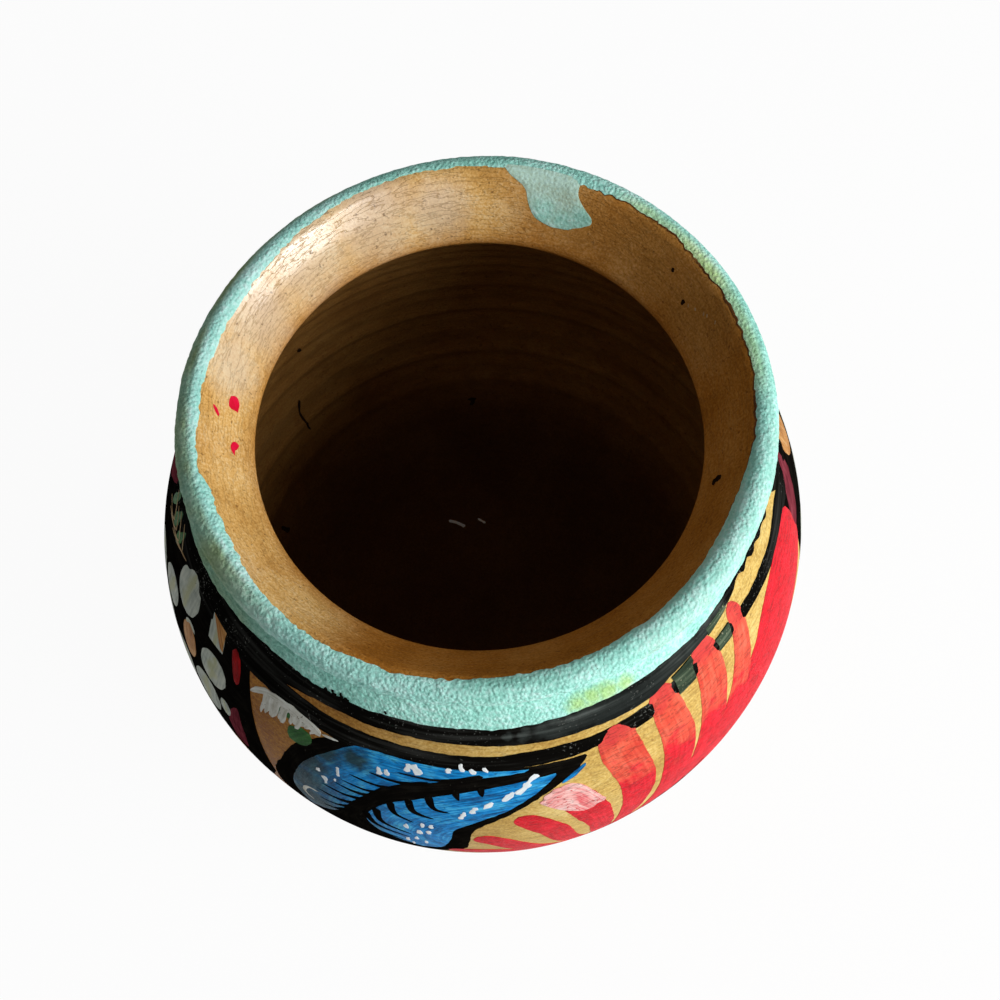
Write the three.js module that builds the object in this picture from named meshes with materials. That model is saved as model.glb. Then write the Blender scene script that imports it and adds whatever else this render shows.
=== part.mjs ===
// A small round-bellied terracotta vase with a short flared neck.
// The clay is five sections, luted edge to edge: a floor slab, three courses of wall and a collar.
// Coats of paint lie on the clay: one over the lip, a run of it inside the mouth, and two neck bands.
// Millimetres, +Z up. The vase stands on z = 0 and Z is its turning axis; -Y is its front.

import * as THREE from 'three';

// Driving dimensions of the body
const BELLY_RADIUS = 61.6;
const BELLY_HEIGHT = 49.6;
const BODY_HALF_HEIGHT = 67.4; // upright half axis of the ellipse that the body's outline follows
const WALL = 5.2;
const FLOOR_THICKNESS = 8;
const FLOOR_RADIUS = 31; // where the flat floor inside begins to rise
const FLOOR_CORNER_HEIGHT = 20; // outside height opposite which the risen floor has become wall
const SLAB_FOOT_RADIUS = 36; // the slab's bevelled edge is wider at the foot
const FOOT_ROUND = 2.5;

// Driving dimensions of the mouth
const LIP_RADIUS = 50; // outermost circle of the lip
const LIP_HEIGHT = 106; // height of that circle
const LIP_ROUND = 2.4;
const THROAT_RADIUS = 38.6;
const THROAT_HEIGHT = 96.3;
const THROAT_ROUND = 2.5;
const NECK_HEIGHT = 95; // where the shoulder ends and the collar's outside fillet begins
const COLLAR_FILLET_RISE = 3.2;

// The heights of the luted seams. They fall inwards, so that each course nests in the one below.
const FOOT_SEAM_OUTSIDE = 30;
const FOOT_SEAM_INSIDE = 28;
const SHOULDER_SEAM_OUTSIDE = 65;
const SHOULDER_SEAM_INSIDE = 62.5;
const NECK_SEAM_INSIDE = 92;

// Paint: thickness, and the heights on the shoulder where each coat ends
const COAT = 0.4;
const COAT_GAP = 0.3; // between neighbouring coats
const RIM_COAT_FOOT = 89.4;
const UPPER_BAND_FOOT = 86.9;
const LOWER_BAND_HEAD = 84.7;
const LOWER_BAND_FOOT = 81.6;
const RUN_LENGTH = 9.5;
const RUN_HALF_WIDTH = 6.2;
const RUN_TAPER = 0.75; // the share of its width that it loses by its rounded end
const RUN_ANGLE = THREE.MathUtils.degToRad(77); // from +X towards +Y: at the back, right of the middle
const RUN_CLEARANCE = 0.15;
const RUN_ROWS = 6;
const RUN_COLUMNS = 6;

const SIDES = 64; // flat sides around the vase

const TERRACOTTA = 0xb5793f;
const TERRACOTTA_LIGHT = 0xbf8a4e;
const TURQUOISE = 0x86cfb6;
const BLACK = 0x1c1a17;

// A point of the body's outline at a given height, with its outward normal
function bodyAt(height) {
  const rise = (height - BELLY_HEIGHT) / BODY_HALF_HEIGHT;
  const radius = BELLY_RADIUS * Math.sqrt(1 - rise * rise);
  const normal = new THREE.Vector2(
    radius / BELLY_RADIUS ** 2,
    (height - BELLY_HEIGHT) / BODY_HALF_HEIGHT ** 2,
  ).normalize();
  return { point: new THREE.Vector2(radius, height), normal };
}

const onBody = (height) => bodyAt(height).point;

// The same place on the inside of the wall
function insideBody(height) {
  const { point, normal } = bodyAt(height);
  return point.addScaledVector(normal, -WALL);
}

// Points at even steps between two heights or angles, both ends included
function along(place, from, to, steps) {
  return Array.from({ length: steps + 1 }, (_, i) => place(THREE.MathUtils.lerp(from, to, i / steps)));
}

// A point of a circle, and points on an arc of it, with angles in radians from +X
function onCircle(centre, radius, angle) {
  return new THREE.Vector2(radius * Math.cos(angle), radius * Math.sin(angle)).add(centre);
}

function arc(centre, radius, from, to, steps) {
  return along((angle) => onCircle(centre, radius, angle), from, to, steps);
}

// Points on a soft corner that leaves `start` and reaches `end` in the two lines that meet at `corner`
function softCorner(start, corner, end, steps) {
  return new THREE.QuadraticBezierCurve(start, corner, end).getPoints(steps);
}

// The mouth: a straight funnel touches the round lip above and the round throat below
const lipCentre = new THREE.Vector2(LIP_RADIUS - LIP_ROUND, LIP_HEIGHT);
const throatCentre = new THREE.Vector2(THROAT_RADIUS + THROAT_ROUND, THROAT_HEIGHT);
const funnelRun = new THREE.Vector2().subVectors(lipCentre, throatCentre);
const funnelTilt = Math.asin((THROAT_ROUND - LIP_ROUND) / funnelRun.length());
const funnelNormal = funnelRun.angle() + Math.PI / 2 - funnelTilt; // faces the axis and up
const funnelHead = onCircle(lipCentre, LIP_ROUND, funnelNormal);
const funnelFoot = onCircle(throatCentre, THROAT_ROUND, funnelNormal);
const funnelDown = new THREE.Vector2().subVectors(funnelFoot, funnelHead).normalize();

// The collar's outside runs down from the lip, beside the funnel, to a fillet on the shoulder
const neckEdge = bodyAt(NECK_HEIGHT);
const collarOut = funnelNormal - Math.PI;
const collarHead = onCircle(lipCentre, LIP_ROUND, collarOut);
const collarLineAt = (height) => collarHead.clone()
  .addScaledVector(funnelDown, (height - collarHead.y) / funnelDown.y);
const shoulderDown = new THREE.Vector2(neckEdge.normal.y, -neckEdge.normal.x);
const filletHead = collarLineAt(NECK_HEIGHT + COLLAR_FILLET_RISE);
const crossing = filletHead.clone().sub(neckEdge.point).cross(funnelDown) / shoulderDown.cross(funnelDown);
const filletCorner = neckEdge.point.clone().addScaledVector(shoulderDown, crossing);

// Stretches of the outline that the clay and its paint share
const shoulderUnderRimCoat = along(onBody, RIM_COAT_FOOT, NECK_HEIGHT, 2);
const collarFillet = softCorner(neckEdge.point, filletCorner, filletHead, 3);
const lipRound = arc(lipCentre, LIP_ROUND, collarOut, funnelNormal, 6);
const upperBandStretch = along(onBody, UPPER_BAND_FOOT, RIM_COAT_FOOT - COAT_GAP, 1);
const lowerBandStretch = along(onBody, LOWER_BAND_FOOT, LOWER_BAND_HEAD, 1);

// The clay sections, each as a closed outline: up the outside and down the inside
const slabOutline = [
  new THREE.Vector2(0, 0),
  new THREE.Vector2(SLAB_FOOT_RADIUS, 0),
  new THREE.Vector2(FLOOR_RADIUS, FLOOR_THICKNESS),
  new THREE.Vector2(0, FLOOR_THICKNESS),
];

const floorCornerEnd = insideBody(FLOOR_CORNER_HEIGHT);
const floorCornerNormal = bodyAt(FLOOR_CORNER_HEIGHT).normal;
const floorCornerDrop = (floorCornerEnd.y - FLOOR_THICKNESS) / floorCornerNormal.x;
const floorCorner = new THREE.Vector2(
  floorCornerEnd.x + floorCornerNormal.y * floorCornerDrop,
  FLOOR_THICKNESS,
);
const footEdge = onBody(FOOT_ROUND);
const footWallOutline = [
  slabOutline[1],
  ...softCorner(
    new THREE.Vector2(footEdge.x - FOOT_ROUND, 0),
    new THREE.Vector2(onBody(0).x, 0),
    footEdge,
    3,
  ),
  ...along(onBody, FOOT_ROUND, FOOT_SEAM_OUTSIDE, 5).slice(1),
  ...along(insideBody, FOOT_SEAM_INSIDE, FLOOR_CORNER_HEIGHT, 2),
  ...softCorner(floorCornerEnd, floorCorner, slabOutline[2], 5).slice(1),
  slabOutline[1],
];

const bellyWallOutline = [
  ...along(onBody, FOOT_SEAM_OUTSIDE, SHOULDER_SEAM_OUTSIDE, 6),
  ...along(insideBody, SHOULDER_SEAM_INSIDE, FOOT_SEAM_INSIDE, 5),
  onBody(FOOT_SEAM_OUTSIDE),
];

const shoulderWallOutline = [
  ...along(onBody, SHOULDER_SEAM_OUTSIDE, LOWER_BAND_FOOT, 3).slice(0, -1),
  ...lowerBandStretch,
  ...upperBandStretch,
  ...shoulderUnderRimCoat,
  ...along(insideBody, NECK_SEAM_INSIDE, SHOULDER_SEAM_INSIDE, 5),
  onBody(SHOULDER_SEAM_OUTSIDE),
];

const underThroat = insideBody(NECK_HEIGHT);
const underThroatNormal = neckEdge.normal.angle() + Math.PI;
const collarOutline = [
  ...collarFillet,
  ...lipRound,
  ...arc(throatCentre, THROAT_ROUND, funnelNormal, underThroatNormal, 5),
  underThroat,
  insideBody(NECK_SEAM_INSIDE),
  neckEdge.point,
];

// A coat lies on a stretch of outline and is raised square to it, thinning out at both ends
function coatOutline(stretch) {
  const last = stretch.length - 1;
  const raised = stretch.map((point, i) => {
    const before = stretch[Math.max(i - 1, 0)];
    const after = stretch[Math.min(i + 1, last)];
    const way = new THREE.Vector2().subVectors(after, before).normalize();
    const thickness = i === 0 || i === last ? COAT / 2 : COAT;
    return new THREE.Vector2(point.x + way.y * thickness, point.y - way.x * thickness);
  });
  return [...raised, ...stretch.toReversed(), raised[0]];
}

const rimCoatStretch = [...shoulderUnderRimCoat, ...collarFillet.slice(1), ...lipRound];

function turned(outline) {
  const geometry = new THREE.LatheGeometry(outline, SIDES);
  return geometry.rotateX(Math.PI / 2);
}

// A closed film over a grid of rows and columns. `place` gives a point from how far down and across
// the grid it is, each from 0 to 1, and from its side of the film, 0 below and 1 above.
function film(place, rows, columns) {
  const layerSize = (rows + 1) * (columns + 1);
  const at = (side, row, column) => side * layerSize + row * (columns + 1) + column;
  const positions = [];
  const faces = [];
  const quad = (a, b, c, d) => faces.push(a, b, c, a, c, d);
  for (const side of [0, 1]) {
    for (let row = 0; row <= rows; row += 1) {
      for (let column = 0; column <= columns; column += 1) {
        positions.push(...place(row / rows, column / columns, side).toArray());
      }
    }
  }
  for (let row = 0; row < rows; row += 1) {
    for (let column = 0; column < columns; column += 1) {
      quad(at(1, row, column), at(1, row, column + 1), at(1, row + 1, column + 1), at(1, row + 1, column));
      quad(at(0, row, column), at(0, row + 1, column), at(0, row + 1, column + 1), at(0, row, column + 1));
    }
    quad(at(0, row, 0), at(1, row, 0), at(1, row + 1, 0), at(0, row + 1, 0));
    quad(at(1, row, columns), at(0, row, columns), at(0, row + 1, columns), at(1, row + 1, columns));
  }
  for (let column = 0; column < columns; column += 1) {
    quad(at(1, 0, column), at(0, 0, column), at(0, 0, column + 1), at(1, 0, column + 1));
    quad(at(0, rows, column), at(1, rows, column), at(1, rows, column + 1), at(0, rows, column + 1));
  }
  const geometry = new THREE.BufferGeometry();
  geometry.setAttribute('position', new THREE.Float32BufferAttribute(positions, 3));
  geometry.setIndex(faces);
  geometry.computeVertexNormals();
  return geometry;
}

// The run of paint inside the mouth: a tongue on the funnel, wide above and rounded below
function onRun(down, across, side) {
  const halfWidth = RUN_HALF_WIDTH * (1 - RUN_TAPER * down ** 4);
  const spot = funnelHead.clone()
    .addScaledVector(funnelDown, COAT_GAP + down * RUN_LENGTH)
    .add(onCircle(new THREE.Vector2(), RUN_CLEARANCE + side * COAT, funnelNormal));
  const angle = RUN_ANGLE + ((2 * across - 1) * halfWidth) / spot.x;
  return new THREE.Vector3(spot.x * Math.cos(angle), spot.x * Math.sin(angle), spot.y);
}

const vase = new THREE.Group();

function addPiece(name, geometry, color, roughness) {
  const material = new THREE.MeshStandardMaterial({ color, roughness, metalness: 0 });
  const piece = new THREE.Mesh(geometry, material);
  piece.name = name;
  vase.add(piece);
}

addPiece('floor_slab', turned(slabOutline), TERRACOTTA, 0.8);
addPiece('foot_wall', turned(footWallOutline), TERRACOTTA, 0.75);
addPiece('belly_wall', turned(bellyWallOutline), TERRACOTTA_LIGHT, 0.6);
addPiece('shoulder_wall', turned(shoulderWallOutline), TERRACOTTA_LIGHT, 0.6);
addPiece('collar', turned(collarOutline), TERRACOTTA_LIGHT, 0.55);
addPiece('rim_coat', turned(coatOutline(rimCoatStretch)), TURQUOISE, 0.65);
addPiece('rim_coat_run', film(onRun, RUN_ROWS, RUN_COLUMNS), TURQUOISE, 0.65);
addPiece('neck_band_upper', turned(coatOutline(upperBandStretch)), BLACK, 0.5);
addPiece('neck_band_lower', turned(coatOutline(lowerBandStretch)), BLACK, 0.5);

export default vase;
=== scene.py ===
# %% [markdown]
# # A painted terracotta vase
# This lesson dresses a small round-bellied vase that was hand-built in clay and then painted with folk
# brushwork. The clay is turned from one outline. Every coat, stroke and dab of paint is a thin closed
# film of its own that lies on that outline. A painted picture wrapped around the pot would be quicker,
# but a film stands a hair proud of the clay as real paint does, catches the light along its edge, and can
# be recoloured stroke by stroke.
#
# The measured solids come first. They set every size, and nothing here moves them.

# %% Load the measured solids
import math
import random

import bmesh
import bpy
import numpy as np
from mathutils import Matrix, Vector, noise


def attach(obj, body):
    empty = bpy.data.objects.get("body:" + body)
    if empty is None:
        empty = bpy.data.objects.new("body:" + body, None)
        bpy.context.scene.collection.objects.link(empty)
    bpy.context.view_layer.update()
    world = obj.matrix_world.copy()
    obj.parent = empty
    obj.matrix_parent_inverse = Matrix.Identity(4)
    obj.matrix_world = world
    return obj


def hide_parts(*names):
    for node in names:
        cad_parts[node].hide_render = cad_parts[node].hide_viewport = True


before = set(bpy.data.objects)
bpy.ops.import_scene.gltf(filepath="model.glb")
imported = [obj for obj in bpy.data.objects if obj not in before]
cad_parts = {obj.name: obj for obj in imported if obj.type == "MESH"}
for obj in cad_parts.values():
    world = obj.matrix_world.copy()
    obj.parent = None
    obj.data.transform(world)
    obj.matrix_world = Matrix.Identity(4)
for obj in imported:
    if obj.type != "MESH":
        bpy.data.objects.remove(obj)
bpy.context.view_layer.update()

MM = 0.001  # meshes are in metres, and the sizes written here in millimetres
print("solids:", ", ".join(sorted(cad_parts)))

# %% [markdown]
# ## The camera
# The vase is looked down into from close by, so the far side of the lip is visibly smaller than the near
# side. A camera is usually aimed by eye. Here its distance, height and roll were worked out from the
# ellipses of the lip and throat, and the lens is given as a focal length in picture pixels. The picture
# is 1000 pixels square.

# %% Set the camera
PICTURE = 1000
FOCAL_PIXELS = 1600
SENSOR_WIDTH = 36.0
LIP_HEIGHT = 106.0
LIP_PIXEL = (478.5, 411.2)  # where the middle of the lip shows, from the top left
CAMERA_DISTANCE = 266.5  # from the middle of the lip
CAMERA_ELEVATION = math.radians(64.54)
CAMERA_ROLL = math.radians(-2.5)


def camera_place():
    towards = Vector((0, -math.cos(CAMERA_ELEVATION), math.sin(CAMERA_ELEVATION)))
    right = Vector((1, 0, 0))
    level = Matrix((right, right.cross(towards), -towards))
    aim = Vector((LIP_PIXEL[0] - PICTURE / 2, LIP_PIXEL[1] - PICTURE / 2, FOCAL_PIXELS))
    aside = Vector((0, 0, 1)).rotation_difference(aim).to_matrix()
    to_right, down, ahead = aside @ Matrix.Rotation(CAMERA_ROLL, 3, "Z") @ level
    turned = Matrix((to_right, -down, -ahead)).transposed().to_4x4()
    spot = Vector((0, 0, LIP_HEIGHT)) + CAMERA_DISTANCE * towards
    return Matrix.Translation(spot * MM) @ turned


camera = bpy.data.objects.new("camera", bpy.data.cameras.new("camera"))
bpy.context.collection.objects.link(camera)
camera.data.sensor_width = SENSOR_WIDTH
camera.data.lens = SENSOR_WIDTH * FOCAL_PIXELS / PICTURE
camera.matrix_world = camera_place()
bpy.context.scene.camera = camera
bpy.context.scene.view_settings.view_transform = "Standard"
camera_mm = [round(value / MM) for value in camera.matrix_world.translation]
print("camera at", camera_mm, "mm, lens", camera.data.lens)

# %% [markdown]
# ## Helpers for shader nodes
# Every finish below is a small net of shader nodes. Wiring nodes by hand takes many lines, so these
# helpers add a node, set or link its inputs and hand back its output. Colours are written as they look on
# a screen, from 0 to 255, and turned into the linear values that the renderer works in.

# %% Colours and single nodes
def rgb(red, green, blue):
    def linear(value):
        share = value / 255
        return share / 12.92 if share <= 0.04045 else ((share + 0.055) / 1.055) ** 2.4

    return (linear(red), linear(green), linear(blue), 1.0)


def feed(tree, socket, value):
    if isinstance(value, bpy.types.NodeSocket):
        tree.links.new(value, socket)
    else:
        socket.default_value = value


def add_node(tree, kind, settings=None, **inputs):
    made = tree.nodes.new("ShaderNode" + kind)
    for name, value in (settings or {}).items():
        setattr(made, name, value)
    for name, value in inputs.items():
        feed(tree, made.inputs[name.replace("_", " ")], value)
    return made


def calc(tree, operation, first, second=0.0):
    made = add_node(tree, "Math", {"operation": operation})
    feed(tree, made.inputs[0], first)
    feed(tree, made.inputs[1], second)
    return made.outputs[0]


def plus(tree, first, second):
    return calc(tree, "ADD", first, second)


def times(tree, first, second):
    return calc(tree, "MULTIPLY", first, second)


print("white is", rgb(255, 255, 255), "to the renderer")

# %% Values, mixtures and noise
def spread(tree, value, low, high, to_low=0.0, to_high=1.0):
    """Stretches the part of a value between low and high, smoothly."""
    limits = {"From_Min": low, "From_Max": high, "To_Min": to_low, "To_Max": to_high}
    made = add_node(tree, "MapRange", {"interpolation_type": "SMOOTHSTEP"}, Value=value, **limits)
    return made.outputs[0]


def blend(tree, share, under, over):
    made = add_node(tree, "Mix", {"data_type": "RGBA"})
    feed(tree, made.inputs["Factor"], share)
    feed(tree, made.inputs[6], under)
    feed(tree, made.inputs[7], over)
    return made.outputs[2]


def tinge(tree, colour, mask, share, over):
    """Lets a share of another colour show where a mask is."""
    return blend(tree, times(tree, mask, share), colour, over)


def ramp(tree, value, positions, colours):
    made = add_node(tree, "ValToRGB", Fac=value)
    elements = made.color_ramp.elements
    while len(elements) < len(positions):
        elements.new(0.5)
    for element, position, colour in zip(elements, positions, colours):
        element.position = position
        element.color = colour
    return made.outputs["Color"]


def split(tree, vector):
    return add_node(tree, "SeparateXYZ", Vector=vector).outputs


def cloud(tree, place, scale, detail=3.0, roughness=0.5):
    made = add_node(tree, "TexNoise", Vector=place, Scale=scale, Detail=detail, Roughness=roughness)
    return made.outputs[0]


print("value helpers ready")

# %% Groups and finishes
def new_group(name, inputs, outputs):
    group = bpy.data.node_groups.new(name, "ShaderNodeTree")
    for label, value in inputs.items():
        socket = group.interface.new_socket(label, in_out="INPUT", socket_type="NodeSocketFloat")
        socket.default_value = value
    for label in outputs:
        group.interface.new_socket(label, in_out="OUTPUT", socket_type="NodeSocketFloat")
    return group, group.nodes.new("NodeGroupInput").outputs, group.nodes.new("NodeGroupOutput").inputs


def use_group(tree, group, **inputs):
    return add_node(tree, "Group", {"node_tree": group}, **inputs).outputs


def place_in_mm(tree):
    where = add_node(tree, "TexCoord").outputs["Object"]
    return add_node(tree, "VectorMath", {"operation": "SCALE"}, Vector=where, Scale=1 / MM).outputs[0]


def new_finish(name):
    finish = bpy.data.materials.new(name)
    finish.use_nodes = True
    return finish, finish.node_tree, finish.node_tree.nodes["Principled BSDF"]


print("group and finish helpers ready")

# %% [markdown]
# ## Floor, light and background
# The vase stands on a plain pale sheet. To make the sheet read as white paper without pouring light over
# the vase, its finish mixes in a plain white that only the camera and mirror-like rays see, and the rest
# of it still takes the vase's shadow. One large soft lamp stands low on the right, a little in front, as
# a window would: it lights the right side of the lip and the back left of the funnel, and leaves the
# inside dark. An even pale sky fills the rest.

# %% Floor and sky
FLOOR_SIDE = 6.0  # metres
FLOOR_DROP = 0.0002
FIBRES = 900.0  # to the metre
PAPER = (rgb(236, 236, 235), rgb(242, 242, 241))
PAPER_SHARE = 0.95  # of the floor's brightness that isn't shaded
SKY_LIGHT = 0.19


def seen_directly(tree):
    path = add_node(tree, "LightPath").outputs
    mirrored = calc(tree, "MAXIMUM", path["Is Glossy Ray"], path["Is Transmission Ray"])
    return calc(tree, "MAXIMUM", path["Is Camera Ray"], mirrored)


def floor_finish():
    finish, tree, shader = new_finish("pale_sheet")
    fibres = cloud(tree, add_node(tree, "TexCoord").outputs["Object"], FIBRES)
    feed(tree, shader.inputs["Base Color"], ramp(tree, fibres, (0.3, 0.7), PAPER))
    shader.inputs["Roughness"].default_value = 0.9
    white = add_node(tree, "Emission", Color=(1, 1, 1, 1), Strength=1.0)
    mixed = add_node(tree, "MixShader", Fac=times(tree, seen_directly(tree), PAPER_SHARE))
    feed(tree, mixed.inputs[1], shader.outputs[0])
    feed(tree, mixed.inputs[2], white.outputs[0])
    feed(tree, tree.nodes["Material Output"].inputs["Surface"], mixed.outputs[0])
    return finish


floor_mesh = bpy.data.meshes.new("floor_sheet")
half = FLOOR_SIDE / 2
floor_corners = [(x * half, y * half, -FLOOR_DROP) for x, y in ((-1, -1), (1, -1), (1, 1), (-1, 1))]
floor_mesh.from_pydata(floor_corners, [], [(0, 1, 2, 3)])
floor_mesh.materials.append(floor_finish())
floor_sheet = bpy.data.objects.new("floor_sheet", floor_mesh)
bpy.context.collection.objects.link(floor_sheet)

sky = bpy.data.worlds.new("sky")
sky.use_nodes = True
sky_strength = calc(sky.node_tree, "MULTIPLY_ADD", seen_directly(sky.node_tree), 1 - SKY_LIGHT)
sky_strength.node.inputs[2].default_value = SKY_LIGHT
sky_shader = sky.node_tree.nodes["Background"]
sky_shader.inputs["Color"].default_value = (1, 1, 1, 1)
feed(sky.node_tree, sky_shader.inputs["Strength"], sky_strength)
bpy.context.scene.world = sky
print("floor", FLOOR_SIDE, "m wide, sky light", SKY_LIGHT)

# %% Window lamp
LAMP_WAY = Vector((0.86, -0.46, 0.42)).normalized()  # from the vase to the lamp
LAMP_DISTANCE = 0.75  # metres
LAMP_WIDTH = 0.46
LAMP_HEIGHT = 0.5
LAMP_LEVEL = 1.2  # brightness of a white sheet that faces the lamp

lamp = bpy.data.objects.new("window_lamp", bpy.data.lights.new("window_lamp", "AREA"))
bpy.context.collection.objects.link(lamp)
lamp.data.shape = "RECTANGLE"
lamp.data.size = LAMP_WIDTH
lamp.data.size_y = LAMP_HEIGHT
lamp.data.energy = LAMP_LEVEL * (math.pi * LAMP_DISTANCE) ** 2
lamp.location = LAMP_WAY * LAMP_DISTANCE + Vector((0, 0, LIP_HEIGHT * MM))
lamp.rotation_euler = LAMP_WAY.to_track_quat("Z", "Y").to_euler()
lamp.visible_camera = False
print("lamp", round(lamp.data.energy, 2), "W at", [round(value, 2) for value in lamp.location])

# %% [markdown]
# ## The outline of the clay
# A turned pot is one line spun around an axis. This line starts at the middle of the floor inside, climbs
# the inside wall, turns over the throat, the funnel and the lip, comes down the collar to the neck and
# over the belly to the foot, and ends under the middle of the base. Places on it are given by `run`, the
# length along the line in millimetres from the neck: above zero down the outside, below zero over the lip
# and into the vase. The body follows an ellipse and the mouth is two round arcs joined by a straight
# funnel, so a few sizes give every point.

# %% Sizes of the clay
BELLY_RADIUS = 61.6
BELLY_HEIGHT = 49.6
BODY_HALF_HEIGHT = 67.4
WALL = 5.2
FLOOR_THICKNESS = 8.0
FLOOR_RADIUS = 31.0
FLOOR_CORNER_HEIGHT = 20.0
SLAB_FOOT_RADIUS = 36.0
FOOT_ROUND = 2.5
LIP_RADIUS = 50.0
LIP_ROUND = 2.4
THROAT_RADIUS = 38.6
THROAT_HEIGHT = 96.3
THROAT_ROUND = 2.5
NECK_HEIGHT = 95.0
FILLET_RISE = 3.2
ROW = 0.6  # spacing of the points along the outline


def at(radius, height):
    return np.array((radius, height), float)


def unit(vector):
    return vector / np.linalg.norm(vector)


def cross(first, second):
    return first[0] * second[1] - first[1] * second[0]


def body_at(height):
    rise = (height - BELLY_HEIGHT) / BODY_HALF_HEIGHT
    radius = BELLY_RADIUS * math.sqrt(1 - rise ** 2)
    normal = unit(at(radius / BELLY_RADIUS ** 2, rise / BODY_HALF_HEIGHT))
    return at(radius, height), normal


def on_body(height):
    return body_at(height)[0]


def inside_body(height):
    point, normal = body_at(height)
    return point - WALL * normal


print("belly", 2 * BELLY_RADIUS, "mm across, lip", 2 * LIP_RADIUS, "mm across")

# %% Stretches of line
def points_along(place, start, end, length):
    steps = max(2, round(length / ROW))
    return [place(start + (end - start) * step / steps) for step in range(steps + 1)]


def straight(start, end):
    return points_along(lambda share: start + (end - start) * share, 0, 1, np.linalg.norm(end - start))


def soft_corner(start, corner, end):
    def place(share):
        return (1 - share) ** 2 * start + 2 * share * (1 - share) * corner + share ** 2 * end

    return points_along(place, 0, 1, np.linalg.norm(end - start))


def on_circle(centre, radius, angle):
    return centre + radius * at(math.cos(angle), math.sin(angle))


def arc(centre, radius, start, end):
    length = 2 * radius * abs(end - start)  # twice as many points as a straight stretch
    return points_along(lambda angle: on_circle(centre, radius, angle), start, end, length)


def mouth_stretches():
    """The throat, funnel, lip, collar and fillet, from under the throat to the neck."""
    lip = at(LIP_RADIUS - LIP_ROUND, LIP_HEIGHT)
    throat = at(THROAT_RADIUS + THROAT_ROUND, THROAT_HEIGHT)
    climb = lip - throat
    tilt = math.asin((THROAT_ROUND - LIP_ROUND) / np.linalg.norm(climb))
    up_and_in = math.atan2(climb[1], climb[0]) + math.pi / 2 - tilt
    out_and_down = up_and_in - math.pi
    funnel = (on_circle(throat, THROAT_ROUND, up_and_in), on_circle(lip, LIP_ROUND, up_and_in))
    slope = unit(funnel[0] - funnel[1])
    neck, neck_normal = body_at(NECK_HEIGHT)
    collar_head = on_circle(lip, LIP_ROUND, out_and_down)
    fillet_head = collar_head + slope * (NECK_HEIGHT + FILLET_RISE - collar_head[1]) / slope[1]
    shoulder = at(neck_normal[1], -neck_normal[0])
    corner = neck + shoulder * cross(fillet_head - neck, slope) / cross(shoulder, slope)
    under_throat = math.atan2(neck_normal[1], neck_normal[0]) + math.pi
    return [
        arc(throat, THROAT_ROUND, under_throat, up_and_in),
        straight(*funnel),
        arc(lip, LIP_ROUND, up_and_in, out_and_down),
        straight(collar_head, fillet_head),
        soft_corner(fillet_head, corner, neck),
    ]


def floor_stretches():
    """The flat floor inside and the soft corner where it rises into the wall."""
    end = inside_body(FLOOR_CORNER_HEIGHT)
    normal = body_at(FLOOR_CORNER_HEIGHT)[1]
    corner = at(end[0] + normal[1] * (end[1] - FLOOR_THICKNESS) / normal[0], FLOOR_THICKNESS)
    edge = at(FLOOR_RADIUS, FLOOR_THICKNESS)
    return [straight(at(0, FLOOR_THICKNESS), edge), soft_corner(edge, corner, end)]


def foot_stretches():
    """The rounded foot and the flat base."""
    edge = on_body(FOOT_ROUND)
    rest = at(edge[0] - FOOT_ROUND, 0)
    slab = at(SLAB_FOOT_RADIUS, 0)
    return [soft_corner(edge, at(on_body(0)[0], 0), rest), straight(rest, slab), straight(slab, at(0, 0))]


print("mouth of", len(mouth_stretches()), "stretches")

# %% One line from the floor inside to the base outside
def joined(stretches):
    line = [stretches[0][0]]
    for stretch in stretches:
        line.extend(point for point in stretch if np.linalg.norm(point - line[-1]) > ROW / 50)
    return np.array(line)


inside_wall = points_along(inside_body, FLOOR_CORNER_HEIGHT, NECK_HEIGHT, NECK_HEIGHT - FLOOR_CORNER_HEIGHT)
outside_wall = points_along(on_body, NECK_HEIGHT, FOOT_ROUND, NECK_HEIGHT)
outline = joined([*floor_stretches(), inside_wall, *mouth_stretches(), outside_wall, *foot_stretches()])
neck_row = int(np.argmin(np.linalg.norm(outline - on_body(NECK_HEIGHT), axis=1)))
outline_run = np.concatenate(([0], np.cumsum(np.linalg.norm(np.diff(outline, axis=0), axis=1))))
outline_run -= outline_run[neck_row]
way = np.gradient(outline, axis=0)
way /= np.linalg.norm(way, axis=1)[:, None]
outline_normal = np.stack((-way[:, 1], way[:, 0]), axis=1)


def run_at(point):
    return float(outline_run[np.argmin(np.linalg.norm(outline - point, axis=1))])


FLOOR_RUN = run_at(at(FLOOR_RADIUS, FLOOR_THICKNESS))
THROAT_RUN = run_at(at(THROAT_RADIUS, THROAT_HEIGHT))
LIP_RUN = run_at(at(LIP_RADIUS - LIP_ROUND, LIP_HEIGHT + LIP_ROUND))
SLAB_RUN = run_at(at(SLAB_FOOT_RADIUS, 0))
landmarks = [round(run, 1) for run in (FLOOR_RUN, THROAT_RUN, LIP_RUN)]
print(len(outline), "points; floor edge, throat and lip at", landmarks)

# %% [markdown]
# ## The marks of the hand
# The inside keeps the ridges that fingers left while the wall was raised, so the outline is moved a
# little, square to itself, by a few rounded ridges and a fine ripple. The whole pot is also a little out
# of round and its lip rises and falls. Both could be sculpted, but a formula keeps the clay and its paint
# together: every point of both goes through the same function. It fades out towards the foot, so that the
# base stays flat.

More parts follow.
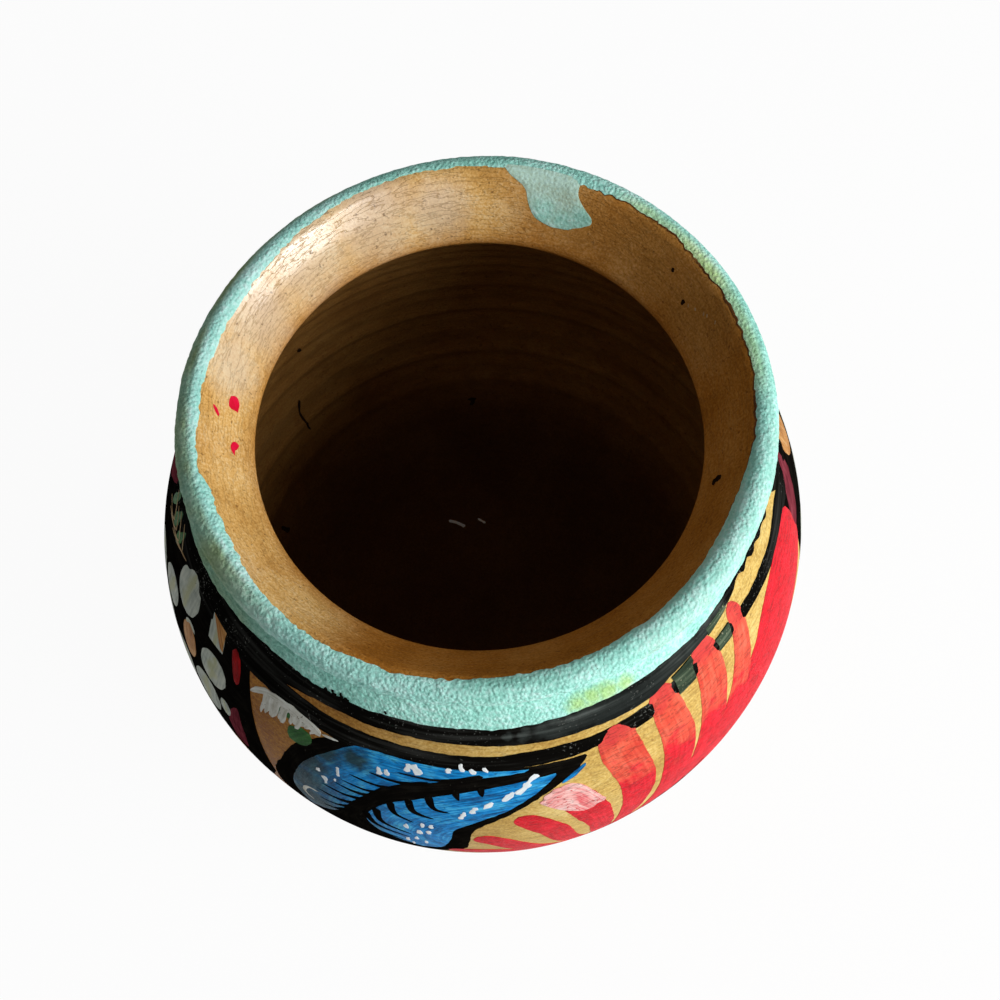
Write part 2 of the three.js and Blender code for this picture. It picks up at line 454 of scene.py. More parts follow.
# %% Finger ridges
RIDGES = (  # height up the inside, depth and half width of each
    (61.0, 0.25, 1.6),
    (51.0, 0.35, 1.4),
    (42.0, 0.45, 1.3),
    (35.0, 0.5, 1.1),
    (28.0, 0.6, 1.2),
    (20.0, 0.35, 1.0),
)
RIDGES_FADE = 8.0  # the length over which the ridges begin and end
BELOW_THROAT = 4.0
ABOVE_FLOOR = 3.0
RIPPLE = 0.11
RIPPLE_PITCH = 4.6
RIPPLE_SWAY = 0.6
RIPPLE_SWAY_LENGTH = 5.0


def bell(distance, width):
    """1 at a place, fading to nothing on both sides of it."""
    return np.exp(-((distance / width) ** 2))


def finger_relief(heights, runs):
    under_throat = np.clip((THROAT_RUN - BELOW_THROAT - runs) / RIDGES_FADE, 0, 1)
    over_floor = np.clip((runs - FLOOR_RUN - ABOVE_FLOOR) / RIDGES_FADE, 0, 1)
    sway = RIPPLE_SWAY * np.sin(heights / RIPPLE_SWAY_LENGTH)
    relief = RIPPLE * np.sin(heights * 2 * math.pi / RIPPLE_PITCH + sway)
    for height, depth, width in RIDGES:
        relief += depth * bell(heights - height, width)
    return under_throat * over_floor * relief


relief = finger_relief(outline[:, 1], outline_run)
outline = outline + outline_normal * relief[:, None]
print("finger ridges up to", relief.max().round(2), "mm")

# %% Wobble of the whole pot
LIP_SHIFT = 0.45  # the mouth sits a little to the left of the belly
LIP_DENT = 1.55  # how far the back left of the lip was pushed in
LIP_DENT_TURN = math.radians(-142)
LIP_DENT_SPREAD = math.radians(44)
LIP_WAVES = ((2, 0.12, 0.8), (3, 0.08, -0.4), (7, 0.05, 0.0))  # waves around the lip, rise and phase
BELLY_OVAL = 0.45  # how far the belly is out of round
BELLY_LONG_TURN = math.radians(115)
FRONT_SWELL = 0.55  # how much fuller the front of the belly is
FRONT_SWELL_SPREAD = math.radians(28)
BELLY_BEGINS = (4, 40)  # heights between which the belly's wobble grows
BELLY_ENDS = (80, 97)  # and between which it dies out
DENT_BEGINS = (97, 105)
WAVES_BEGIN = (70, 106)


def ease(values, low, high):
    share = np.clip((values - low) / (high - low), 0, 1)
    return share * share * (3 - 2 * share)


def handmade(points):
    """Moves points of a perfect pot to where a hand would have left them."""
    x, y, z = np.moveaxis(points, -1, 0)
    angle = np.arctan2(x, -y)
    from_dent = (angle - LIP_DENT_TURN + math.pi) % (2 * math.pi) - math.pi
    pushed = LIP_DENT * bell(from_dent, LIP_DENT_SPREAD) + LIP_SHIFT * np.sin(angle)
    belly = ease(z, *BELLY_BEGINS) * (1 - ease(z, *BELLY_ENDS))
    out_of_round = BELLY_OVAL * np.cos(2 * (angle - BELLY_LONG_TURN))
    fuller = out_of_round + FRONT_SWELL * bell(angle, FRONT_SWELL_SPREAD)
    swell = belly * fuller - ease(z, *DENT_BEGINS) * pushed
    scale = 1 + swell / np.maximum(np.hypot(x, y), FLOOR_RADIUS)
    dip = sum(rise * np.sin(count * angle + phase) for count, rise, phase in LIP_WAVES)
    return np.stack((x * scale, y * scale, z + dip * ease(z, *WAVES_BEGIN)), axis=-1)


def at_run(run, values):
    return np.interp(run, outline_run, values)


def on_vase(turn, run, lift):
    """Points over the clay: `turn` in degrees from the front to the right, `run` and `lift` in mm."""
    radius = at_run(run, outline[:, 0]) + lift * at_run(run, outline_normal[:, 0])
    height = at_run(run, outline[:, 1]) + lift * at_run(run, outline_normal[:, 1])
    angle = np.radians(turn)
    return handmade(np.stack((radius * np.sin(angle), -radius * np.cos(angle), height), axis=-1))


whole_turn = np.arange(360.0)
lip_heights = on_vase(whole_turn, np.full_like(whole_turn, LIP_RUN), 0.0)[:, 2]
print("lip height varies", np.ptp(lip_heights).round(2), "mm")

# %% [markdown]
# ## Effects that the finishes share
# Five effects appear on more than one finish, so each is a node group with named inputs. `Wheel lines`
# are the fine rings that turning, wiping and a brush held against the turning pot leave. They are noise
# stretched around the axis, and the angle goes in as a sine and cosine so that no seam shows. `Sand
# grain` is the grit of the clay under everything. `Brush streaks` run along a stroke and read the
# stroke's own map. `Worn thin` finds the high grains where paint has rubbed away. `Soft spot` is a mask
# with a blurred edge around one place, for stains and tints.

# %% Wheel lines
WHEEL_LINES = {"Lines": 1.0, "Broad": 0.2, "Wrinkles": 0.7}  # lines of each kind for every fine line
CREASE = 0.035  # how close to its middle value the noise makes a crease


def from_axis(tree, x, y):
    return calc(tree, "SQRT", plus(tree, times(tree, x, x), times(tree, y, y)))


def wheel_lines_group():
    group, given, result = new_group("Wheel lines", {"Lines per mm": 1.0, "Drift": 1.5}, WHEEL_LINES)
    x, y, z = split(group, place_in_mm(group))
    radius = from_axis(group, x, y)
    wide = calc(group, "MAXIMUM", radius, 1.0)
    drift_x, drift_y = (times(group, calc(group, "DIVIDE", side, wide), given["Drift"]) for side in (x, y))
    four_ways = {"noise_dimensions": "4D"}
    for label, closeness in WHEEL_LINES.items():
        pitch = times(group, given["Lines per mm"], closeness)
        across = times(group, radius, pitch)
        up = times(group, z, pitch)
        where = add_node(group, "CombineXYZ", X=across, Y=up, Z=drift_x).outputs[0]
        rings = add_node(group, "TexNoise", four_ways, Vector=where, W=drift_y, Scale=1.0, Detail=3.0)
        value = rings.outputs[0]
        if label == "Wrinkles":
            from_middle = calc(group, "ABSOLUTE", calc(group, "SUBTRACT", value, 0.5))
            value = spread(group, from_middle, 0.0, CREASE, 1.0, 0.0)
        feed(group, result[label], value)
    return group


wheel_lines = wheel_lines_group()
print("group:", wheel_lines.name)

# %% Sand grain
def sand_grain_group():
    outputs = ["Height", "Pebbles", "Dark specks", "Blotches"]
    group, given, result = new_group("Sand grain", {"Size mm": 0.5}, outputs)
    place = place_in_mm(group)
    per_mm = calc(group, "DIVIDE", 1.0, given["Size mm"])
    feed(group, result["Height"], cloud(group, place, per_mm, 4.0, 0.6))
    rounded = {"feature": "SMOOTH_F1"}
    cells = add_node(group, "TexVoronoi", rounded, Vector=place, Scale=per_mm, Smoothness=0.5)
    feed(group, result["Pebbles"], spread(group, cells.outputs["Distance"], 0.1, 0.8, 1.0, 0.0))
    coarse = cloud(group, place, times(group, per_mm, 0.55), 2.0, 0.4)
    feed(group, result["Dark specks"], spread(group, coarse, 0.66, 0.74))
    feed(group, result["Blotches"], cloud(group, place, 0.07, 3.0, 0.55))
    return group


sand_grain = sand_grain_group()
print("group:", sand_grain.name)

# %% Brush streaks
def brush_streaks_group():
    inputs = {"Streaks per mm": 1.6, "Stretch": 12.0}
    group, given, result = new_group("Brush streaks", inputs, ["Streaks", "Load"])
    stroke_map = add_node(group, "UVMap", {"uv_map": "Brush"}).outputs[0]
    along, across, _ = split(group, stroke_map)
    fine = times(group, across, times(group, given["Streaks per mm"], 10.0))
    slow = calc(group, "DIVIDE", times(group, along, 16.0), given["Stretch"])
    bristles = add_node(group, "CombineXYZ", X=slow, Y=fine).outputs[0]
    feed(group, result["Streaks"], cloud(group, bristles, 1.0, 3.0, 0.6))
    feed(group, result["Load"], cloud(group, stroke_map, 2.2, 3.0, 0.55))
    return group


brush_streaks = brush_streaks_group()
print("group:", brush_streaks.name)

# %% Worn thin
def worn_thin_group():
    group, given, result = new_group("Worn thin", {"Wear": 0.3, "Size mm": 0.45}, ["Bare"])
    place = place_in_mm(group)
    grains = cloud(group, place, calc(group, "DIVIDE", 1.0, given["Size mm"]), 3.0, 0.55)
    patches = cloud(group, place, 0.12, 2.0, 0.5)
    both = plus(group, grains, times(group, calc(group, "SUBTRACT", patches, 0.5), 0.35))
    edge = calc(group, "SUBTRACT", 0.86, times(group, given["Wear"], 0.4))
    feed(group, result["Bare"], spread(group, both, edge, plus(group, edge, 0.06)))
    return group


worn_thin = worn_thin_group()
print("group:", worn_thin.name)

# %% Soft spots
def soft_spot_group():
    inputs = {"X": 0.0, "Y": 0.0, "Z": 0.0, "Reach": 5.0, "Sway": 4.0}
    group, given, result = new_group("Soft spot", inputs, ["Mask"])
    place = place_in_mm(group)
    middle = add_node(group, "CombineXYZ", X=given["X"], Y=given["Y"], Z=given["Z"]).outputs[0]
    gap = add_node(group, "VectorMath", {"operation": "DISTANCE"})
    feed(group, gap.inputs[0], place)
    feed(group, gap.inputs[1], middle)
    drift = times(group, calc(group, "SUBTRACT", cloud(group, place, 0.5), 0.5), given["Sway"])
    away = plus(group, gap.outputs["Value"], drift)
    full = times(group, given["Reach"], 0.2)
    feed(group, result["Mask"], spread(group, away, full, given["Reach"], 1.0, 0.0))
    return group


soft_spot = soft_spot_group()


def near_spots(tree, spots, sway=4.0):
    """A soft mask around a few (turn, run, reach) places on the vase."""
    mask = 0.0
    for turn, run, reach in spots:
        x, y, z = on_vase(turn, run, 0.3)
        near = use_group(tree, soft_spot, X=x, Y=y, Z=z, Reach=reach, Sway=sway)["Mask"]
        mask = calc(tree, "MAXIMUM", near, mask)
    return mask


print("group:", soft_spot.name)

# %% [markdown]
# ## The clay finishes
# Outside, the clay was burnished and given a thin varnish: ochre, nearly smooth, with a soft shine. Its
# colour is painted darker on the left as shade and paler on the right as painted light and sheen. Inside
# the mouth it was only wiped with a wet rag as the pot turned, so it is duller and streaked, with dark grit
# showing; deeper down it was left bare, and its colour carries painted shade, darkest at the bottom. The
# funnel's left and back carry painted light and a painted highlight. One finish covers the whole inside and
# darkens below the throat, because two finishes would meet in a hard line that fired clay doesn't have.

# %% Clay
GRAIN_STOPS = (0.38, 0.5, 0.62)  # values of the grain that show a dark, a middle and a pale tone
GRAIN_HEIGHTS = (0.3, 0.7)  # heights of the grain between which its gloss changes
CLAY_SHINE = 0.03


def weighted(tree, *pairs):
    """Adds up values, each times its share."""
    total = times(tree, *pairs[0])
    for value, share in pairs[1:]:
        total = plus(tree, total, times(tree, value, share))
    return total


def clay_tones(tree, lines, grain, tones):
    tone = weighted(tree, (grain["Blotches"], 0.42), (grain["Height"], 0.46), (lines["Lines"], 0.12))
    return ramp(tree, tone, GRAIN_STOPS, tones)


def raise_bump(tree, shader, depth, *pairs):
    bump = add_node(tree, "Bump", Strength=1.0, Distance=depth * MM, Height=weighted(tree, *pairs))
    feed(tree, shader.inputs["Normal"], bump.outputs[0])


print("tones of the clay at", GRAIN_STOPS)

# %% Clay outside
# Painted shade makes the left of the belly darker, and painted light and sheen make its right paler.
SHADED_SIDE_CLAY = (rgb(108, 60, 16), rgb(146, 90, 30), rgb(184, 128, 56))
LIT_SIDE_CLAY = (rgb(184, 144, 72), rgb(214, 180, 100), rgb(232, 208, 138))
SHADE_TO_LIGHT_ACROSS = (-44.0, 20.0)  # painted shade on the left, painted light and sheen on the right: from and to these places across


def outside_clay():
    finish, tree, shader = new_finish("varnished_ochre_clay")
    lines = use_group(tree, wheel_lines, Lines_per_mm=1.4, Drift=8.0)
    grain = use_group(tree, sand_grain, Size_mm=0.5)
    golden, pale = (clay_tones(tree, lines, grain, tones) for tones in (SHADED_SIDE_CLAY, LIT_SIDE_CLAY))
    aside = split(tree, place_in_mm(tree))[0]
    # painted shade on the left, painted light and sheen on the right
    colour = blend(tree, spread(tree, aside, *SHADE_TO_LIGHT_ACROSS), golden, pale)
    colour = tinge(tree, colour, grain["Dark specks"], 0.35, rgb(110, 66, 28))
    colour = tinge(tree, colour, lines["Wrinkles"], 0.25, rgb(96, 56, 24))
    feed(tree, shader.inputs["Base Color"], colour)
    feed(tree, shader.inputs["Roughness"], spread(tree, grain["Height"], *GRAIN_HEIGHTS, 0.36, 0.55))
    shader.inputs["Specular IOR Level"].default_value = CLAY_SHINE
    heights = ((lines["Lines"], 0.15), (grain["Height"], 0.55), (lines["Wrinkles"], -0.3))
    raise_bump(tree, shader, 0.16, *heights)
    return finish


varnished_clay = outside_clay()
print("finish:", varnished_clay.name)

# %% Clay inside
# The first tones are painted light: paler clay on the funnel's left and back.
PAINTED_LIGHT_CLAY = (rgb(194, 144, 74), rgb(224, 178, 106), rgb(244, 212, 156))
WIPED_CLAY = (rgb(150, 94, 30), rgb(178, 116, 44), rgb(200, 142, 70))
# The next two are painted shade: the inside darker below the throat, and darker still at the bottom.
INSIDE_SHADE_CLAY = (rgb(134, 92, 44), rgb(147, 105, 52), rgb(160, 119, 64))
BOTTOM_SHADE_CLAY = (rgb(64, 39, 21), rgb(74, 47, 25), rgb(86, 58, 32))
# A painted highlight, cream, on the back left of the funnel.
PAINTED_HIGHLIGHT = rgb(226, 213, 194)
BOTTOM_SHADE_ENDS = (8.0, 27.0)  # heights between which the painted shade of the bottom eases into the lighter painted shade of the wall
INSIDE_SHADE_ENDS = (91.0, THROAT_HEIGHT)  # heights between which the painted shade of the wall gives way to the wiped funnel
PAINTED_LIGHT_BEGINS = (93.5, 100.5)
# Places of the painted light on the funnel, full and then faint.
PAINTED_LIGHT_FUNNEL = ((-172, -24, 24), (-140, -24, 30), (-105, -24, 32), (-70, -24, 26), (-45, -22, 16))
FAINT_LIGHT_FUNNEL = ((155, -24, 14), (135, -24, 16), (115, -24, 14))
# Where the varnish is glossy and where the painted highlight lightens the colour.
VARNISH_AND_HIGHLIGHT_FUNNEL = ((-172, -24, 9), (-156, -22, 13), (-138, -21, 15), (-120, -22, 13), (-106, -23, 9))


def inside_clay():
    finish, tree, shader = new_finish("wiped_inside_clay")
    lines = use_group(tree, wheel_lines, Lines_per_mm=1.5, Drift=10.0)
    grain = use_group(tree, sand_grain, Size_mm=0.45)
    palette = (PAINTED_LIGHT_CLAY, WIPED_CLAY, INSIDE_SHADE_CLAY, BOTTOM_SHADE_CLAY)
    lit_clay, wiped, inside_shade, bottom_shade = (clay_tones(tree, lines, grain, tones) for tones in palette)
    height = split(tree, place_in_mm(tree))[2]
    inside_shade = blend(tree, spread(tree, lines["Broad"], 0.52, 0.6, 0.0, 0.2), inside_shade, rgb(96, 60, 22))
    # painted shade: the wall is darker below the throat and darker still at the bottom
    colour = blend(tree, spread(tree, height, *BOTTOM_SHADE_ENDS), bottom_shade, inside_shade)
    colour = blend(tree, spread(tree, height, *INSIDE_SHADE_ENDS), colour, wiped)
    # painted light: the funnel's left and back are paler, and a fainter patch at the back right
    faint_light = times(tree, near_spots(tree, FAINT_LIGHT_FUNNEL), 0.3)
    painted_light = calc(tree, "MAXIMUM", near_spots(tree, PAINTED_LIGHT_FUNNEL), faint_light)
    colour = tinge(tree, colour, painted_light, spread(tree, height, *PAINTED_LIGHT_BEGINS), lit_clay)
    # this mask gives the varnish its gloss and also paints a highlight into the clay's colour
    varnish_and_highlight = near_spots(tree, VARNISH_AND_HIGHLIGHT_FUNNEL)
    colour = tinge(tree, colour, varnish_and_highlight, 0.42, PAINTED_HIGHLIGHT)
    colour = tinge(tree, colour, grain["Dark specks"], 0.5, rgb(84, 48, 20))
    # the wrinkles show darker inside the painted highlight
    creased = plus(tree, times(tree, varnish_and_highlight, 0.12), 0.15)
    colour = tinge(tree, colour, lines["Wrinkles"], creased, rgb(90, 62, 40))
    feed(tree, shader.inputs["Base Color"], colour)
    feed(tree, shader.inputs["Roughness"], spread(tree, lines["Lines"], 0.35, 0.7, 0.5, 0.7))
    shader.inputs["Specular IOR Level"].default_value = CLAY_SHINE
    unbroken = calc(tree, "SUBTRACT", 1.0, lines["Wrinkles"])
    patchy = times(tree, spread(tree, grain["Height"], 0.3, 0.5, 0.35, 1.0), unbroken)
    feed(tree, shader.inputs["Coat Weight"], times(tree, varnish_and_highlight, patchy))
    shader.inputs["Coat IOR"].default_value = 1.9
    shader.inputs["Coat Roughness"].default_value = 0.28
    heights = ((lines["Lines"], 0.15), (grain["Height"], 0.6), (lines["Wrinkles"], -0.3))
    raise_bump(tree, shader, 0.2, *heights)
    return finish


clay_finishes = (inside_clay(), varnished_clay)
print("clay finishes:", [finish.name for finish in clay_finishes])

# %% [markdown]
# ## The clay sections
# The pot was put together from a floor slab, three courses of wall and a collar, luted edge to edge. Each
# section is a closed ring: its stretch of the outside, a seam face, its stretch of the inside and the
# other seam face. A lathe modifier could spin the profile, but mesh code keeps the exact rings that
# neighbouring sections share and sends every point through the hand's wobble.

# %% Spin a section
SIDES = 360  # points around the vase
WELD = 1e-7  # points closer than this, in metres, become one
CLAY_EDGE = 50  # degrees: sharper corners than these stay sharp


def rows_between(start, end):
    steps = max(2, round(abs(end - start) / ROW))
    return np.linspace(start, end, steps + 1)


def add_piece(name, mesh, slot, *nodes):
    """Links a finished mesh as a piece of the vase, in place of the solids it stands for."""
    piece = bpy.data.objects.new(name, mesh)
    bpy.context.collection.objects.link(piece)
    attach(piece, "root")
    if nodes:
        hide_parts(*nodes)
    return piece


def tidy_mesh(mesh, edge):
    """Welds doubled points, turns every face outward and shades the mesh smooth up to an angle."""
    shape = bmesh.new()
    shape.from_mesh(mesh)
    bmesh.ops.remove_doubles(shape, verts=shape.verts, dist=WELD)
    bmesh.ops.recalc_face_normals(shape, faces=shape.faces)
    shape.to_mesh(mesh)
    shape.free()
    mesh.polygons.foreach_set("use_smooth", np.ones(len(mesh.polygons), bool))
    mesh.set_sharp_from_angle(angle=math.radians(edge))


def ring_faces(rows, columns):
    grid = np.arange(rows * columns).reshape(rows, columns)
    ahead = np.roll(grid, -1, axis=0)
    aside = np.roll(grid, -1, axis=1)
    both = np.roll(ahead, -1, axis=1)
    return np.stack((grid, aside, both, ahead), axis=-1).reshape(-1, 4)


def clay_section(name, node, *stretches):
    runs = np.concatenate([rows_between(*stretch) for stretch in stretches])
    turns = np.arange(SIDES) * 360 / SIDES
    turn, run = np.meshgrid(turns, runs)
    points = on_vase(turn, run, np.zeros_like(run)).reshape(-1, 3) * MM
    mesh = bpy.data.meshes.new(name)
    mesh.from_pydata(points.tolist(), [], ring_faces(len(runs), SIDES).tolist())
    for finish in clay_finishes:
        mesh.materials.append(finish)
    outside = np.repeat(runs > LIP_RUN, SIDES)
    mesh.polygons.foreach_set("material_index", outside.astype(np.int32))
    tidy_mesh(mesh, CLAY_EDGE)
    print(name, len(mesh.polygons), "faces")
    return add_piece(name, mesh, "terracotta", node)


print(SIDES, "points around each ring")

# %% Five sections
FOOT_SEAM = run_at(on_body(30.0))
FOOT_SEAM_INSIDE = run_at(inside_body(28.0))
SHOULDER_SEAM = run_at(on_body(65.0))
SHOULDER_SEAM_INSIDE = run_at(inside_body(62.5))
NECK_SEAM_INSIDE = run_at(inside_body(92.0))
SECTIONS = {  # each section's stretches of the outline
    "floor_slab": ((SLAB_RUN, outline_run[-1]), (outline_run[0], FLOOR_RUN)),
    "foot_wall": ((FOOT_SEAM, SLAB_RUN), (FLOOR_RUN, FOOT_SEAM_INSIDE)),
    "belly_wall": ((SHOULDER_SEAM, FOOT_SEAM), (FOOT_SEAM_INSIDE, SHOULDER_SEAM_INSIDE)),
    "shoulder_wall": ((0.0, SHOULDER_SEAM), (SHOULDER_SEAM_INSIDE, NECK_SEAM_INSIDE)),
    "collar": ((NECK_SEAM_INSIDE, 0.0),),
}
for node, stretches in SECTIONS.items():
    clay_section("clay_" + node, node, *stretches)

# %% [markdown]
# ## Films of paint
# A coat of paint is a grid of points over the clay: columns along the brush's way and rows across it. The
# grid is laid twice, once as the paint's face and once just under the clay, and closed around the edge,
# so every stroke is a solid of its own. Its edges wander as a brush's do and it is thicker in the middle.
# Strokes of one colour are gathered into one piece. Each also carries two maps: `Brush`, in centimetres
# along and across the stroke, for the streaks, and `Fraction`, from 0 to 1 each way, for changes from a
# stroke's start to its end.

# %% Gather films into a coat
SINK = 0.06  # how far a film reaches into the clay, so that no gap shows
STEP = 0.5  # spacing of a film's points
PAINT_EDGE = 60  # degrees: sharper corners than these stay sharp
dice = random.Random(11)


class Coat:
    def __init__(self, name, finish, slot, lift, thickness):
        self.name, self.finish, self.slot = name, finish, slot
        self.lift, self.thickness = lift, thickness
        self.points, self.faces, self.brush, self.fraction = [], [], [], []
        self.count = 0

    def film(self, turn, run, share, along, across, closed=False):
        """Adds one film. All are grids; `share` is how much of the full thickness each point has."""
        rows, columns = turn.shape
        face = on_vase(turn, run, self.lift + self.thickness * share)
        under = on_vase(turn, run, np.full(turn.shape, -SINK))
        top = self.count + np.arange(rows * columns).reshape(rows, columns)
        low = top + rows * columns
        self.quads(top)
        self.quads(low[::-1])
        for edge in (0, -1):
            self.quads(np.stack((top[edge], low[edge])))
            if not closed:
                self.quads(np.stack((top[:, edge], low[:, edge])))
        self.points += [face.reshape(-1, 3), under.reshape(-1, 3)]
        aside = [dice.uniform(0, 50) for _ in range(2)]
        brush = np.stack((along / 10 + aside[0], across / 10 + aside[1]), axis=-1).reshape(-1, 2)
        parts = np.meshgrid(np.linspace(0, 1, columns), np.linspace(0, 1, rows))
        self.brush += [brush, brush]
        self.fraction += [np.stack(parts, axis=-1).reshape(-1, 2)] * 2
        self.count += 2 * rows * columns

    def quads(self, grid):
        corners = (grid[:-1, :-1], grid[:-1, 1:], grid[1:, 1:], grid[1:, :-1])
        self.faces.append(np.stack(corners, -1).reshape(-1, 4))

    def finish_piece(self, *nodes):
        mesh = bpy.data.meshes.new(self.name)
        points = np.concatenate(self.points) * MM
        mesh.from_pydata(points.tolist(), [], np.concatenate(self.faces).tolist())
        corners = np.empty(len(mesh.loops), np.int32)
        mesh.loops.foreach_get("vertex_index", corners)
        for label, values in (("Brush", self.brush), ("Fraction", self.fraction)):
            mesh.uv_layers.new(name=label).data.foreach_set("uv", np.concatenate(values)[corners].ravel())
        mesh.materials.append(self.finish)
        tidy_mesh(mesh, PAINT_EDGE)
        print(self.name, len(mesh.polygons), "faces")
        return add_piece(self.name, mesh, self.slot, *nodes)


print("films reach", SINK, "mm into the clay")

# %% Wandering edges
SWAY_LENGTH = 6.0
TREMBLE_LENGTH = 1.1


def wander(count, knots, closed=False):
    """Smooth random values from -1 to 1, one for each point of an edge."""
    knots = max(2, int(knots))
    values = [dice.uniform(-1, 1) for _ in range(knots + 1)]
    if closed:
        values[-1] = values[0]
    place = np.linspace(0, knots, count)
    left = np.minimum(place.astype(int), knots - 1)
    values = np.array(values)
    share = ease(place - left, 0, 1)
    return values[left] * (1 - share) + values[left + 1] * share


def ragged(length, count):
    """An edge's wandering in millimetres: a slow sway and a fine tremble."""
    slow = wander(count, length / SWAY_LENGTH)
    fine = wander(count, length / TREMBLE_LENGTH)
    return 0.6 * slow + 0.4 * fine


def mm_per_degree(run):
    return np.radians(1) * at_run(run, outline[:, 0])


def smooth_path(points, step=STEP):
    """A smooth line through a few (turn, run) places, and its length at each point."""
    places = np.array(points, float)
    if len(places) == 2:
        places = np.array((places[0], places.mean(axis=0), places[1]))
    ends = (2 * places[0] - places[1], 2 * places[-1] - places[-2])
    knots = np.vstack((ends[0], places, ends[1]))
    line = []
    share = np.linspace(0, 1, 25)[:-1, None]
    for a, b, c, d in zip(knots, knots[1:], knots[2:], knots[3:]):
        line.append(0.5 * (2 * b + (c - a) * share + (2 * a - 5 * b + 4 * c - d) * share ** 2
                           + (3 * b - a - 3 * c + d) * share ** 3))
    line = np.vstack((*line, places[-1:]))
    gaps = np.diff(line, axis=0)
    gaps[:, 0] *= mm_per_degree(line[1:, 1])
    length = np.concatenate(([0], np.cumsum(np.linalg.norm(gaps, axis=1))))
    even = np.linspace(0, length[-1], max(6, round(length[-1] / step)))
    return np.stack([np.interp(even, length, line[:, axis]) for axis in (0, 1)], axis=-1), even


print("path of", len(smooth_path([(0, 20), (10, 30), (15, 50)])[0]), "points as a trial")

# %% Strokes and patches
THINNEST = 0.05  # no stroke or line is narrower than this to either side
LOAD_LENGTH = 3  # the paint of a stroke thickens and thins over about this length


def crowned(across, power=4):
    return 1 - np.abs(across) ** power


def stroke(coat, points, widths, tremble, start=1.0, end=1.0, step=STEP):
    """A stroke through (turn, run) places; `start` and `end` are how round its ends are, in half widths."""
    path, length = smooth_path(points, step)
    count = len(path)
    half = np.interp(np.linspace(0, 1, count), np.linspace(0, 1, len(widths)), widths) / 2
    for distance, roundness in ((length, start), (length[-1] - length, end)):
        reach = max(roundness * half.max(), 1e-3)
        half = half * np.sqrt(np.clip(1 - (1 - np.clip(distance / reach, 0, 1)) ** 2, 0.004, 1))
    way = np.gradient(path, axis=0)
    per_degree = mm_per_degree(path[:, 1])
    way[:, 0] *= per_degree
    way /= np.linalg.norm(way, axis=1)[:, None]
    rows = max(5, round(2 * half.max() / step) | 1)
    across = np.linspace(-1, 1, rows)[:, None]
    shake = np.minimum(half, tremble)
    edges = [np.maximum(half + shake * ragged(length[-1], count), THINNEST) for _ in range(2)]
    offset = np.where(across < 0, across * edges[0], across * edges[1])
    turn = path[:, 0] - offset * way[:, 1] / per_degree
    run = path[:, 1] + offset * way[:, 0]
    load = 0.75 + 0.25 * wander(count, length[-1] / LOAD_LENGTH)
    share = crowned(across) * load * np.ones(count)
    coat.film(turn, run, share, np.tile(length, (rows, 1)), offset)


def patch(coat, first_edge, second_edge, tremble):
    """A film between two edges that run the same way, each through a few (turn, run) places."""
    count = max(len(smooth_path(edge)[0]) for edge in (first_edge, second_edge))
    edges = []
    for edge in (first_edge, second_edge):
        path, length = smooth_path(edge)
        share = np.linspace(0, length[-1], count)
        place = np.stack([np.interp(share, length, path[:, axis]) for axis in (0, 1)], axis=-1)
        shake = tremble * ragged(length[-1], count)
        place[:, 0] += shake / mm_per_degree(place[:, 1])
        place[:, 1] += shake
        edges.append((place, share))
    (first, first_length), (second, second_length) = edges
    gap = (second - first) * np.stack((mm_per_degree(first[:, 1]), np.ones(count)), axis=-1)
    width = np.linalg.norm(gap, axis=1)
    rows = max(5, round(width.max() / (1.5 * STEP)) | 1)
    down = np.linspace(0, 1, rows)[:, None]
    turn = first[:, 0] * (1 - down) + second[:, 0] * down
    run = first[:, 1] * (1 - down) + second[:, 1] * down
    along = first_length * (1 - down) + second_length * down
    coat.film(turn, run, crowned(2 * down - 1, 8) * np.ones(count), along, down * width)


print("no stroke is narrower than", 2 * THINNEST, "mm")

# %% Ovals and dabs
OVAL_TREMBLE = 0.25
OVAL_STEP = 0.35
DAB_STEP = 0.22
DAB_BEND = 0.25  # the most that a dab bends aside, as a share of its width
DAB_WIDTHS = (0.5, 1.2)  # shares between which its width varies


def oval(coat, turn, run, half_turn, half_run, lean=0.0):
    """A rounded cell, `half_turn` degrees and `half_run` millimetres from its middle to its edges."""
    width = 2 * half_turn * float(mm_per_degree(run))
    ends = [(turn - lean, run - half_run), (turn, run), (turn + lean, run + half_run)]
    shape = width * np.sqrt(1 - 0.99 * np.linspace(-1, 1, 31) ** 2)
    stroke(coat, ends, shape, OVAL_TREMBLE, start=0.0, end=0.0, step=OVAL_STEP)


def twice(places):
    """Places on the front half, and again half a turn further on."""
    behind = [(turn + 180 if turn < 0 else turn - 180, *rest) for turn, *rest in places]
    return (*places, *behind)


def dab(coat, turn, run, width, length, lean=0.0):
    """A short touch of the brush, loaded at one end."""
    bend = dice.uniform(-DAB_BEND, DAB_BEND) * width
    ends = [(turn - lean / 2, run - length / 2), (turn + bend, run), (turn + lean / 2, run + length / 2)]
    shape = [width * dice.uniform(*DAB_WIDTHS) for _ in range(6)]
    stroke(coat, ends, shape, 0.3 * width, start=0.6, end=0.4, step=DAB_STEP)


print("points every", OVAL_STEP, "mm on ovals and every", DAB_STEP, "mm on dabs")

# %% [markdown]
# ## The paint finishes
# These are water paints: thin, matt and streaked along the brush's way, lighter where they are thin, and
# rubbed off the tops of the clay's grain. One function makes nearly all of them, because they differ only
# in colours, wear and shine. Coats brushed on while the pot turned take their streaks from the wheel
# lines, and strokes take them from the stroke's own map. Red petals go from coral at the tip to crimson
# at the base, so the start of a stroke can have a colour of its own, and so can its middle or a place on
# the pot. The paint of the lip is thicker and has a function to itself: it is sandy, tinted around some
# places and toned over whole stretches. Some of its tints are painted light, and the olive over the left
# is painted shade. The grey-white on the front right of the bands is partly wear and partly a painted
# sheen.

